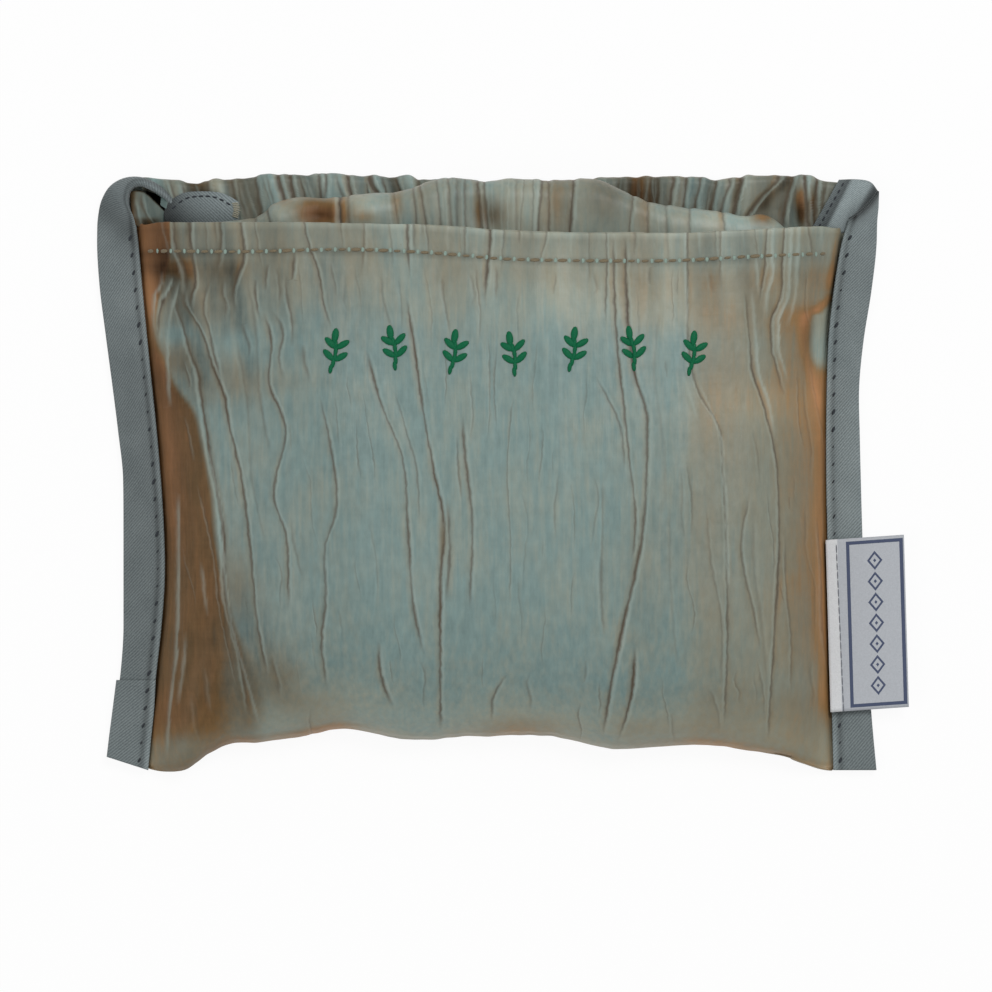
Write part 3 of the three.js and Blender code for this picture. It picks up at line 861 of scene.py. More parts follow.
# Route, width, darkness, height and side of the ridge
FRONT_CREASES = [Crease(*row) for row in (
    (((31, 60.6), (31.8, 36.6), (34.8, 6.6), (36.5, -13.9), (35.5, -22)), 0.3, 0.9, 0.5),
    (((34, 60.6), (34.8, 38.1), (36.3, 25.6), (39.5, 14.1), (39.5, 6.6), (37.8, -17.4), (33.5, -37.1),
      (31.3, -48.1), (28.5, -65.4)), 0.36, 1.0, 0.8),
    (((-20.5, 45.6), (-18.5, 33.6), (-16.5, 18.9), (-13, -0.6), (-11, -10.1), (-11.8, -26.9),
      (-11.8, -64.4)), 0.32, 1.0, 0.6),
    (((-10.2, -5), (-9.5, -18.9), (-10.5, -32)), 0.36, 0.8, 0.4, -1),
    (((-55.8, 41.6), (-53.8, 33.6), (-54.5, 23.6), (-50.3, 12.1), (-52.8, -0.6), (-53.3, -4.6),
      (-50, -15.4), (-49.5, -33.6)), 0.28, 0.85, 0.4),
    (((-75.8, 47.6), (-75.8, 44.1), (-73.9, 40.1), (-71.7, 36.6), (-69, 28.4), (-65.5, 19.6),
      (-64.8, 14.9), (-61.3, -0.6), (-59.3, -16.9), (-57.3, -36.9), (-54.8, -50.4)), 0.3, 1.0, 0.5),
    (((-77.6, 46.6), (-77.8, 43.1), (-76.8, 39.2), (-75.4, 34.9), (-74.3, 30.5), (-72.5, 26.6),
      (-71.7, 20.9), (-69.5, 6.6), (-66, -13.4), (-65.3, -30.1), (-62, -43.6), (-59.3, -60.4)),
     0.34, 1.0, 0.6, -1),
    (((-46.2, 68), (-45.6, 62.4), (-44.1, 56.4), (-42.4, 51.9), (-40.5, 41.6), (-38.5, 35.6)),
     0.32, 1.0, 0.5),
    (((-42, 20.9), (-39.3, 8.9), (-38, -10.1), (-40.5, -18.1), (-40.3, -30.9), (-41.3, -40.1),
      (-40, -53.6)), 0.3, 0.8, 0.45),
    (((-30.5, 32.4), (-25.8, 16.1), (-21.8, 6.6), (-19.8, -13.4), (-18.3, -33.6), (-15.8, -44.9)),
     0.3, 0.85, 0.45),
    (((-23.5, 22), (-20.2, 11), (-17.8, 2), (-17, -12)), 0.26, 0.6, 0.3),
    (((-6.5, 16), (-5.8, 6.6), (-4, -10.1), (-4.6, -34)), 0.34, 0.85, 0.4),
    (((-7.6, 12), (-7.4, 2), (-6.2, -8)), 0.22, 0.5, 0.3, -1),
    (((-27.3, -40.1), (-26.5, -50.4), (-23.3, -58.9)), 0.36, 0.95, 0.5),
    (((5, -48.4), (1, -56.9), (1, -62)), 0.32, 0.8, 0.4),
    (((36.5, -41.4), (35.5, -55.1), (32, -66.6)), 0.32, 0.95, 0.6),
    (((26.2, 25.9), (33.2, 10.6), (33.8, -0.6)), 0.26, 0.6, 0.4),
    (((29.2, 69), (29.4, 50), (29.1, 36.6)), 0.24, 0.7, 0.3),
    (((48.0, 69), (48.1, 54.1), (48.3, 48.4), (48.5, 34)), 0.5, -1.6, 0.5),
    (((49.4, 69), (49.5, 53), (49.6, 45), (49.6, 36)), 0.3, 0.9, 0.4, -1),
    (((71.4, 69), (69.6, 54.1), (69.9, 50.6), (68.6, 45.4), (68, 38)), 0.5, -1.6, 0.5),
    (((70.4, 69), (69, 56.4), (68.8, 51), (67.7, 46), (67.2, 41)), 0.28, 0.8, 0.4),
    (((65.8, 58), (66, 52.8), (66.6, 46.2), (66.8, 42)), 0.4, -1.2, 0.3),
    (((75.2, 69), (74.1, 54), (73.9, 45.4), (71.3, 38.4), (71.3, 32.3), (72.5, 28.4), (74.2, 22)),
     0.5, -1.7, 0.5),
    (((74.2, 69), (73.2, 54), (73, 45.4), (70.5, 38.4), (70.6, 32), (71.9, 27.4), (74, 19)), 0.28, 0.85, 0.4),
    (((77, 69), (76, 54.1), (75.6, 44.5), (73.2, 36)), 0.45, -1.5, 0.4),
    (((64.7, 48), (65.5, 38.4), (66, 32.3), (66.5, 25.7), (68.6, 19.6), (71, 8)), 0.45, -1.4, 0.4),
    (((50.6, 25), (55.1, 15.1), (57.4, 8.2), (57.9, -0.1), (58.7, -12), (58.8, -30)), 0.45, -1.3, 0.3),
    (((46.6, 28), (49.4, 19.6), (52, 12)), 0.45, -1.0, 0.3),
    (((-20.2, 69), (-20, 62), (-19.5, 48)), 0.3, 0.85, 0.4),
    (((-5.7, 69), (-5.8, 52)), 0.26, 0.65, 0.3),
    (((0.7, 69), (0.2, 55), (-0.3, 50.4), (-1, 42)), 0.36, 0.95, 0.5),
    (((15.6, 69), (13.8, 57), (11.7, 50)), 0.28, 0.6, 0.3),
    (((-31.2, 69), (-30.8, 58), (-31.6, 49)), 0.26, 0.5, 0.3),
    (((58.2, 69), (57.6, 56), (57.9, 46)), 0.28, 0.6, 0.3),
    (((82.4, 69), (82, 55)), 0.5, -1.0, 0.3),
    (((49.5, 53.1), (49.5, 38.1), (52.5, 20.9), (57.5, 11.9), (58.5, 0.4), (59.5, -41.4), (58.8, -63)),
     0.26, 0.7, 0.5, -1),
    (((64, 47), (64.7, 38.4), (65.3, 32.3), (65.9, 25.7), (68.3, 19), (70.3, 12), (72, 3.6), (72.6, -10),
      (71.5, -37.9), (69.8, -66.6)), 0.28, 0.85, 0.5, -1),
    (((65, -3.6), (63, -18.6), (66.3, -34.4), (68, -44.1)), 0.26, 0.6, 0.4),
    (((-78.4, 68), (-77.6, 56.4), (-76.2, 52.9), (-75.2, 48), (-75, 44)), 0.34, 0.9, 0.6, -1),
    (((-74.4, 68), (-73.9, 56.8), (-73.3, 52), (-73, 47.6), (-74.1, 44.5), (-74.2, 40)), 0.36, 1.1, 0.7),
    (((-76.8, 48.8), (-80.5, 44.9), (-81.8, 41), (-82.4, 34)), 0.32, 1.0, 0.5, -1),
    (((-82.2, 52), (-82.4, 48), (-84.2, 45), (-84.4, 39), (-83.4, 32)), 0.5, -1.7, 0.5),
    (((-79.6, 50), (-80.4, 47), (-83.2, 43)), 0.45, -1.6, 0.4),
    (((-77.2, 50), (-79.2, 44), (-80.2, 39), (-80.9, 32), (-80.6, 24), (-80.2, 16)), 0.5, -1.6, 0.5),
    (((-69, 49.5), (-70.6, 44.5), (-70.8, 41.9), (-69.5, 36.6), (-68.2, 30.5), (-66, 20)), 0.3, 0.8, 0.4),
    (((-62.2, 68), (-61.2, 61), (-60.6, 56), (-60.9, 52.9), (-62.5, 48.9), (-63.4, 45.4), (-62.5, 40)),
     0.36, 1.0, 0.5),
    (((-57.9, 50), (-57.7, 43.6), (-56.8, 39)), 0.28, 0.8, 0.35),
    (((-54.7, 53), (-55.4, 46)), 0.28, 0.7, 0.3),
    (((-48.1, 56), (-48.3, 53), (-48.9, 47.6)), 0.36, 1.0, 0.4),
    (((-67, 68), (-66.4, 56), (-67.6, 50)), 0.28, 0.7, 0.35),
    (((-78, -3), (-78.2, -27.4), (-78.5, -44.1), (-79.8, -55.4), (-81.2, -72)), 0.5, -1.3, 0.5),
    (((-75.9, -38), (-76.4, -47), (-78, -58)), 0.4, -1.0, 0.3),
    (((-71.5, 9), (-68.6, -2.9), (-66.6, -16)), 0.45, -0.9, 0.4),
    (((-67.6, -10.6), (-66.2, -27.4), (-63.6, -41.4), (-61, -50), (-57.4, -64)), 0.5, -1.1, 0.4),
    (((-72.4, -20), (-71.6, -28), (-70.4, -36)), 0.4, -0.8, 0.3),
)]
FLOW = Line((-90, 0.2), (-60, 0.14), (-20, 0.08), (10, -0.03), (35, -0.02), (55, 0.1), (90, 0.03))


@dataclass
class FrontLeaf:
    """The domed front of the pouch, with its hem folded in and sewn down."""

    seam_top: float = 1.5
    bulge: float = 3.2  # height at which the foot reaches furthest out
    tuck: float = 2.0
    side_shoulder: float = 45.0
    foot_shoulder: float = 40.0
    hem_radius: float = 0.55
    thickness: float = 0.4
    columns: int = 420
    rows: int = 112

    def height(self, x: Array, y: Array) -> Array:
        """Height of the smooth front over a place in plan.

        Args:
            x: Places across.
            y: Places along.

        Returns:
            Heights in millimetres.
        """
        crown = node_box("front_panel")[1].z
        mouth = crown * 0.85
        side = np.minimum(x - LEFT_INNER.at(y), RIGHT_INNER.at(y) - x)
        foot = y - FOOT_EDGE.at(x)
        share = foot / (HEM_EDGE.at(x) - FOOT_EDGE.at(x))
        full = mix(crown, mouth, climb(share, 0.45, 0.55))
        base = self.seam_top + self.bulge * climb(side, 0.3, 12)
        rise = shoulder(side - 0.6, self.side_shoulder) * shoulder(foot, self.foot_shoulder)
        return base + (full - base) * rise

    def creases(self) -> CreaseSet:
        """The creases of the front: those the eye picks out first, then seeded crops of small ones.

        Returns:
            The set of all.
        """
        crops = [
            CreaseCrop(16, 40, (-84, 84), (66, 69), (9, 20), (0.2, 0.5), 0.4, (0.18, 0.36), FLOW, 0.3),
            CreaseCrop(17, 16, (-84, 84), (66, 69), (9, 20), (-0.9, -0.4), 0.3, (0.3, 0.45), FLOW, 0.3),
            CreaseCrop(11, 46, (-84, 84), (50, 55), (6, 22), (0.25, 0.6), 0.3, lean=FLOW, wander=0.6),
            CreaseCrop(18, 30, (-82, -40), (28, 54), (8, 22), (0.4, 0.8), 0.35, (0.2, 0.36), FLOW, 0.7),
            CreaseCrop(12, 60, (-80, 84), (-10, 56), (14, 60), (0.15, 0.5), 0.25, lean=FLOW),
            CreaseCrop(13, 34, (28, 84), (-20, 58), (20, 70), (0.2, 0.5), 0.3, lean=FLOW),
            CreaseCrop(14, 26, (-82, 84), (-58, -40), (6, 16), (0.2, 0.55), 0.3, lean=FLOW),
            CreaseCrop(15, 150, (-80, 84), (-55, 58), (5, 24), (0.15, 0.45), 0.12, (0.12, 0.2), FLOW, 0.5),
        ]
        return CreaseSet(FRONT_CREASES, [crease for crop in crops for crease in crop.grow()])

    def lay(self) -> LaidCloth:
        """Lays the leaf from its seam at the foot up to the hem, over it and down inside.

        Returns:
            The laid grid.
        """
        cloth = LaidCloth("front_cloth", self.columns, self.rows, self.thickness)
        a, b = cloth.steps()
        rows = np.concatenate([np.linspace(-1, 0, 6)[:-1], np.linspace(0, 0.1, 12)[:-1],
                               np.linspace(0.1, 1, 85)[:-1], np.linspace(1, 2, 7)[:-1], np.linspace(2, 3, 7)])
        stage = np.interp(b * self.rows, np.arange(len(rows)), rows)
        guess = mix(-90.0, 90.0, a)
        up = np.clip(stage, 0.0, 1.0)
        for _ in range(2):
            foot, hem = FOOT_EDGE.at(guess), HEM_EDGE.at(guess)
            y = mix(foot, hem, up)
            guess = mix(LEFT_OUTER.at(y) + CLOTH_INSET, RIGHT_OUTER.at(y) - CLOTH_INSET, a)
        x = guess
        z = self.height(x, y)
        under = np.clip(-stage, 0.0, 1.0)
        round_foot = np.cos(under * math.pi / 2)
        z = np.where(stage < 0, mix(self.seam_top, z, round_foot ** 1.5), z)
        side = np.minimum(x - LEFT_INNER.at(y), RIGHT_INNER.at(y) - x)
        tucked = self.tuck * (1.0 - np.sin((1.0 - under) * math.pi / 2)) * smooth(side / 8.0)
        y = np.where(stage < 0, y + tucked, y)
        turn = np.clip(stage - 1.0, 0.0, 1.0) * math.pi
        free = climb(side, 2, 4)
        y = y + free * (self.hem_radius * np.sin(turn) - np.clip(stage - 2.0, 0.0, 1.0) * (HEM_DEPTH + 1.5))
        z = np.where(stage > 2, self.height(x, y), z)
        z = z - (self.hem_radius * (1.0 - np.cos(turn)) + 0.6 * smooth(stage - 1.6)) * mix(0.45, 1.0, free)
        cloth.points = np.stack([x, y, z], axis=-1)
        self.dress(cloth, x, mix(foot, hem, up), side, stage)
        return cloth

    def dress(self, cloth: LaidCloth, x: Array, y: Array, side: Array, stage: Array) -> None:
        """Adds the folds and creases, the colour shares and the painted shade and light of the laid leaf.

        Args:
            cloth: The laid sheet, which it changes.
            x: Places across.
            y: Places along.
            side: Distance from the nearer seam.
            stage: Below 0 under the foot, to 1 up the front, then the hem's bend and its turning.
        """
        creases = self.creases()
        drift = x + (y + 70.0) * FLOW.at(x)
        free = climb(side, 0.5, 7) * climb(stage, 3, -0.8)
        hem = mix(1.0, 0.35, smooth((y - HEM_STITCH.at(x) + 2.0) / 3.0))
        swells = 0.6 * Ripple(21, 15, 85).at(drift, y) + 0.3 * Ripple(22, 6.5, 46).at(drift, y)
        swells += 0.14 * Ripple(23, 2.6, 24).at(drift, y)
        gather = climb(y, 36, 18) * 0.22 * Ripple(24, 2.1, 30).at(x, y)
        relief = creases.relief(x, y)
        cloth.push((swells + relief + gather) * free * hem)
        cloth.marks = crease_attributes(creases, x, y)
        flank = self.flank(x, y)
        cloth.marks["shot"] = self.copper_share(x, y, flank)
        cloth.marks["tone_and_shade"] = (1.0 + self.tone_and_shade(x, y, side, flank)) ** 2.2 - 1.0

    def flank(self, x: Array, y: Array) -> Array:
        """How far each place is on the flank that falls away on the left, where the copper weft shows.

        Args:
            x: Places across.
            y: Places along.

        Returns:
            A share of 1 at each place.
        """
        edge = Line((64, -79.3), (56, -79.1), (51, -80.5), (40, -83), (28, -81), (21, -77), (16, -73.2),
                    (10, -71.5), (-1, -69.3), (-21, -67), (-36, -63.5), (-44, -60), (-54, -57),
                    (-70, -58)).at(y)
        foot = 1.0 - 0.5 * climb(y, -60, -8)
        blur = mix(2.5, 0.9, climb(y, 50, 5)) + 4.0 * climb(y, -40, -8)
        return smooth((edge - x) / blur + 0.5) * mix(1.0, 0.55, climb(x, -70, 8)) * foot

    def wave(self, x: Array, y: Array) -> tuple[Array, Array]:
        """The fold that swings out from the right seam: how near its crest each place is, and its hollow.

        Args:
            x: Places across.
            y: Places along.

        Returns:
            Two shares of 1 at each place.
        """
        crest = Line((46, 86.6), (44.5, 85.2), (41.4, 81.7), (39.7, 78.9), (32.3, 78.7), (26.6, 80),
                     (21.4, 81.7), (14, 83.4)).at(y)
        reach = climb(y, 46, -2) * climb(y, 14, 6)
        return bell(x - crest, 1.2) * reach, smooth((x - crest - 0.6) / 2.4) * reach * climb(y, 24, 6)

    def bands(self, x: Array, y: Array) -> tuple[Array, Array]:
        """Narrow bands down the cloth, strongest at the hem and at the upper left.

        Args:
            x: Places across.
            y: Places along.

        Returns:
            What they add to the copper share and to the lightness.
        """
        drift = x + (y + 70.0) * FLOW.at(x)
        left = climb(x, -52, -12) * climb(y, 16, 10) * (1.0 - 0.7 * climb(y, 50, 6))
        strength = 0.5 * climb(y, 30, 20) + left
        fine, broad = Ripple(27, 2.4, 19).at(drift, y - 47.0), Ripple(28, 5.2, 90).at(drift, y + 20.0)
        return strength * (0.09 * fine + 0.12 * broad), strength * (0.1 * fine - 0.14 * broad)

    def copper_share(self, x: Array, y: Array, flank: Array) -> Array:
        """How much copper shows at each place: most on the left flank, at the seams and at the foot.

        Args:
            x: Places across.
            y: Places along.
            flank: How far each place is on the left flank.

        Returns:
            A share of 1 at each place.
        """
        below_hem = smooth((HEM_STITCH.at(x) - y) / 6.0)
        top = 0.2 * climb(y, 30, 22)
        warm = 0.1 * climb(x, 25, 10) * climb(y, 32, 8) * below_hem
        upper = 1.0 - 0.6 * climb(y, 36, 10)
        outer = 0.25 * climb(x, 68, 12) * (1.0 - 0.65 * climb(y, -34, -20))
        outer = outer * (1.0 - 0.85 * climb(y, 40, 4))
        right = (0.22 * climb(x, 46, 10) * upper + outer) * below_hem
        band = 0.18 * bell(y - 20.0, 11.0) * climb(x, 47, 7) * (1.0 - 0.7 * climb(x, 72, 8))
        seam_left = 0.22 * bell(x - LEFT_INNER.at(y) - 2.5, 3.5) * climb(y, -30, 20)
        edge = RIGHT_INNER.at(y) - x
        seam_right = 0.3 * bell(edge - 1.5, 2.4) * climb(y, -66, 12) * climb(y, 46, -8)
        rim = Line((-80, 0.1), (-70, 0.15), (-60, 0.36), (-38, 0.4), (-30, 0.15), (30, 0.15), (48, 0.3),
                   (70, 0.2), (84, 0.08)).at(x)
        foot = 0.1 * climb(y, -50, -8) + rim * smooth((2.4 - (y - FOOT_EDGE.at(x))) / 2.0)
        crest, hollow = self.wave(x, y)
        wave = mix(0.18, 0.34, climb(y, 36, 3)) * crest - 0.8 * right * hollow
        corner = mix(0.34, 0.22, climb(y, 56, 4)) * bell(edge - 1.4, 1.0) * climb(y, 43, 6)
        spots = patches(x, y, [
            (-52, -50, 6, 6, 0.25), (-45, -57, 8, 4, 0.2), (-40, -64, 10, 3, 0.3), (8, -63, 12, 3, 0.3),
            (40, -63, 12, 4, 0.2), (-83, 52.5, 6, 2.4, 0.3), (-76, 51.5, 3.5, 2.4, 0.4),
            (-64.5, 51.5, 6, 3, 0.18), (-78.5, 28.5, 5, 4.4, 0.36), (-77, 35.5, 5, 2.6, -0.2),
            (-72, -58, 6, 7, -0.12), (-61, 23, 7, 4.5, 0.2), (-63, 34, 6, 3.4, -0.1), (-50, 24, 5, 4, 0.12),
            (-11, -16, 1.0, 6, 0.4), (-72, 21, 5, 4, 0.12), (42, -14, 16, 34, 0.07), (-57, -42, 5, 9, 0.09),
            (-62.5, -28, 4.5, 8, 0.3), (42, 45, 24, 7, 0.05)])
        base = 0.05 + 0.65 * flank + top + warm + right + band + wave + corner
        return base + seam_left + seam_right * (1.0 - hollow) + foot + spots + self.bands(x, y)[0]

    def tone_and_shade(self, x: Array, y: Array, side: Array, flank: Array) -> Array:
        """How much lighter or darker than plain the cloth looks at each place: uneven cloth with
        painted shade and painted light.

        Args:
            x: Places across.
            y: Places along.
            side: Distance from the nearer seam.
            flank: How far each place is on the left flank.

        Returns:
            A share, negative where it is darker.
        """
        left_top = -0.05 * climb(x, -44, -22) * climb(y, 12, 8)
        hem_left = -0.02 * climb(x, -58, -8) * climb(y, 52, 4)
        # Painted shade: darker towards the left and most on the left flank, which turns away from the lamps
        left = -0.04 * climb(x, -25, -15) - 0.24 * flank
        # Soft lighter and darker patches: uneven cloth, and painted shade and painted light around folds
        spots = patches(x, y, [
            (22, 44, 26, 8, 0.12), (68, 18, 18, 7, 0.14), (18, 0, 16, 34, 0.02), (50, 40, 14, 8, 0.05),
            (-62, -38, 7, 20, -0.13), (-52, -50, 6, 7, -0.1), (38, -28, 5, 18, -0.05), (80, 50, 6, 5, -0.04),
            (-83, 52, 6, 2.2, -0.18), (-76, 51.5, 3, 2.2, -0.14), (-64.5, 51.5, 6, 3, -0.1),
            (-85.5, 38, 2.5, 14, 0.36), (-77, 35, 5, 2.6, 0.12), (-63, 33, 7, 3.4, 0.08),
            (-11, -16, 1.0, 6, -0.12), (-81, 42, 3.5, 4, 0.1), (-84, 59.5, 5, 3, 0.1),
            (84, 4, 3.4, 40, 0.05), (78, 46, 4, 4, 0.06), (-56, -44, 5, 9, -0.05), (80, 35, 1.6, 6, -0.2),
            (49, -18, 8, 16, -0.04)])
        # Painted light: lighter towards the foot, where the cloth curves away from the lamps
        foot = 0.1 * smooth((15.0 - (y - FOOT_EDGE.at(x))) / 11.0)
        # Painted shade in the valley of the hem's stitches and in the gap beside each tape, with painted
        # light a little way from the tape
        seam = -0.14 * bell(y - HEM_STITCH.at(x) + 0.35, 0.6) - 0.35 * bell(side - 0.3, 0.55)
        seam += 0.07 * bell(side - 2.2, 1.6)
        # Painted shade in the gap beside the upper part of the right tape
        upper = climb(y, 26, 8) * climb(y, 61, -2)
        seam -= 0.32 * bell(RIGHT_INNER.at(y) - x - 0.3, 0.6) * upper
        # Painted highlight along the fold at the top of the hem
        fold = 0.1 * smooth((y - HEM_EDGE.at(x) + 0.8) / 0.7)
        hollow = 0.08 * self.wave(x, y)[1]
        return left_top + hem_left + left + spots + foot + seam + fold + hollow + self.bands(x, y)[1]


@dataclass
class BackLeaf:
    """The back of the pouch: flat below, rolled over at the mouth as the gathered rim and turned in."""

    floor: float = 0.25
    roll: float = 1.75
    turned_in: float = 22.0
    thickness: float = 0.4
    columns: int = 420
    rows: int = 84

    def creases(self) -> CreaseSet:
        """Pleats across the rim, closer together on the right.

        Returns:
            The set of all.
        """
        lean = Line((-90, 0.26), (-10, 0.3), (30, 0.05), (50, -0.1), (90, -0.14))
        crops = [
            CreaseCrop(31, 40, (-86, -6), (6, 7), (16, 22), (0.6, 1.0), 0.6, (0.24, 0.4), lean, 0.3),
            CreaseCrop(32, 26, (30, 88), (6, 7), (16, 22), (0.4, 0.8), 0.5, (0.24, 0.4), lean, 0.3),
            CreaseCrop(39, 26, (-88, 88), (6, 7), (12, 20), (-1.1, -0.5), 0.3, (0.3, 0.5), lean, 0.25),
            CreaseCrop(33, 70, (-88, 88), (3, 6), (8, 16), (0.3, 0.8), 0.3, lean=lean, wander=0.25),
            CreaseCrop(34, 60, (-84, 84), (-24, 10), (20, 70), (0.15, 0.5), 0.2, lean=FLOW),
        ]
        pleats = ((-52.3, 1.2, 1.5), (-49.4, 0.9, 1.6), (-42.2, 0.5, 1.0), (-40.4, -0.4, 0.9),
                  (-35, 1.0, 1.1), (-29.3, 2.2, 1.5), (-22.9, 1.6, 1.2), (-17.4, 0.4, 1.0), (-58, 0.8, 0.9),
                  (-64, 0.8, 0.8), (-70, 0.8, 0.8), (46.4, -0.8, 1.1), (49.5, -0.6, 1.2), (53, -1.0, 1.3),
                  (57, -1.0, 1.5), (60.4, -1.6, 1.1), (63.3, -1.2, 1.6), (72.6, -4.4, 1.1), (76, -1.2, 1.4),
                  (79, 0.4, 1.5), (82, -0.3, 1.7))
        named = [Crease(((x, 10), (x, 4), (x + lean_by, -1), (x + 1.8 * lean_by, -5.5),
                         (x + 2.4 * lean_by, -12)),
                        0.3 + 0.16 * dark, dark, 0.8) for x, lean_by, dark in pleats]
        return CreaseSet(named, [crease for crop in crops for crease in crop.grow()])

    def lay(self) -> LaidCloth:
        """Lays the leaf from the foot up to the rim, over it and down inside the mouth.

        Returns:
            The laid grid.
        """
        cloth = LaidCloth("back_cloth", self.columns, self.rows, self.thickness)
        a, b = cloth.steps()
        rows = np.concatenate([np.linspace(0, 1, 33)[:-1], np.linspace(1, 2, 17)[:-1], np.linspace(2, 3, 37)])
        stage = np.interp(b * self.rows, np.arange(len(rows)), rows)
        guess = mix(-90.0, 90.0, a)
        for _ in range(2):
            rim = RIM_EDGE.at(guess) - self.roll
            foot = FOOT_EDGE.at(guess) + 1.5
            flat = mix(foot, rim, np.clip(stage, 0.0, 1.0))
            down = np.clip(stage - 2.0, 0.0, 1.0) * self.turned_in
            y = flat - down
            drawn = 2.0 * smooth(stage - 1.0) + 9.5 * climb(down, 1, 7)
            left = LEFT_OUTER.at(flat) + CLOTH_INSET + drawn + 3.0 * climb(stage, 0.9, 0.3)
            right = RIGHT_OUTER.at(flat) - CLOTH_INSET - drawn
            guess = mix(left, right, a)
        x = guess
        turn = np.clip(stage - 1.0, 0.0, 1.0) * math.pi
        side = np.minimum(x - LEFT_OUTER.at(y), RIGHT_OUTER.at(y) - x)
        start = mix(0.85, self.floor, climb(side, 9, 5))
        radius = mix(1.05, self.roll, climb(side, 8, 8))
        z = start + radius * (1.0 - np.cos(turn))
        y = y + self.roll * np.sin(turn)
        along = np.where(stage < 1, flat - rim, np.where(stage < 2, math.pi * self.roll * (stage - 1.0),
                                                         math.pi * self.roll + down))
        cloth.points = np.stack([x, y, z], axis=-1)
        self.dress(cloth, x, 8.0 - along, stage)
        return cloth

    def dress(self, cloth: LaidCloth, x: Array, along: Array, stage: Array) -> None:
        """Adds the pleats of the rim, its colour shares and painted shade and painted light on the rim.

        Args:
            cloth: The laid sheet, which it changes.
            x: Places across.
            along: Places along the cloth, 8 where the roll starts.
            stage: To 1 up the back, to 2 over the rim, to 3 down inside.
        """
        creases = self.creases()
        lean = x + 0.25 * along * climb(x, 20, -30) - 0.1 * along * climb(x, 20, 30)
        rim = climb(stage, 0.97, 0.15)
        held = smooth((RIGHT_OUTER.at(np.zeros_like(x) + 70.0) - x - 1.0) / 8.0) * climb(x, -84, 10)
        calm = mix(1.0, 0.7, climb(x, 22, 10))
        fine, broad = Ripple(35, 2.3, 30).at(lean, along), Ripple(36, 5.0, 40).at(lean, along)
        pleats = (0.55 * fine + 0.5 * broad + creases.relief(x, along)) * calm
        flat = 0.25 * smooth(1.0 - stage) * (Ripple(37, 9, 60).at(x, along) + creases.relief(x, along))
        cloth.push(-np.clip(pleats, -1.1, 1.0) * rim * held * 0.85 + np.abs(flat) * 0.3 * (1.0 - rim))
        cloth.points[..., 2] = np.maximum(cloth.points[..., 2], self.thickness / 2)
        cloth.marks = crease_attributes(creases, x, along)
        # Painted light and shade that follow the pleats of the rim
        pleat_shading = calm * (0.2 * fine + 0.16 * broad)
        tone_and_shade = -0.1 + rim * (pleat_shading + 0.06 * Ripple(40, 2.9, 40).at(lean, along))
        # Painted shade in deep pleats of the rim and in the gap under the left curl of tape, painted light
        # along the crest of the rim and on a few pleat ridges
        tone_and_shade += patches(x, along, [(38, -2, 5, 7, -0.34), (79.5, -5, 3.4, 6, -0.1),
                                   (68.5, -3.6, 3.4, 3, -0.14), (38, 5, 50, 0.9, 0.12),
                                   (78.1, -4.8, 1.1, 3.6, -0.6), (81, -4.4, 1.0, 4.6, -0.6),
                                   (74.8, -3.4, 1.3, 4, 0.08), (79.6, -4, 0.7, 4, 0.08),
                                   (62, 0, 12, 5, -0.08), (-84.5, -2, 3.2, 3.2, -0.7)])
        # Painted shade in a diagonal band across the pleats on the right
        tone_and_shade += patches(x - along, along, [(71.5, 0, 2.0, 5, -0.2)])
        cloth.marks["tone_and_shade"] = (1.0 + np.maximum(tone_and_shade, -0.6)) ** 2.2 - 1.0
        copper = 0.16 + 0.1 * Ripple(38, 3.4, 40).at(lean, along) - 0.4 * pleat_shading
        copper -= 0.6 * np.minimum(tone_and_shade + 0.2, 0.0)
        copper += patches(x, along, [(38, -1, 5, 8, 0.3), (78, -1, 1.4, 2.6, 0.6), (80.9, -4, 1.2, 4.4, 0.5),
                                     (-70, 5, 8, 4, 0.16), (72, 2, 4, 6, 0.1), (38, 5, 40, 0.9, 0.2),
                                     (78.1, -5, 1.4, 4, 0.4), (69, -3, 4, 4, 0.12)])
        cloth.marks["shot"] = np.clip(copper, 0.0, 1.0)


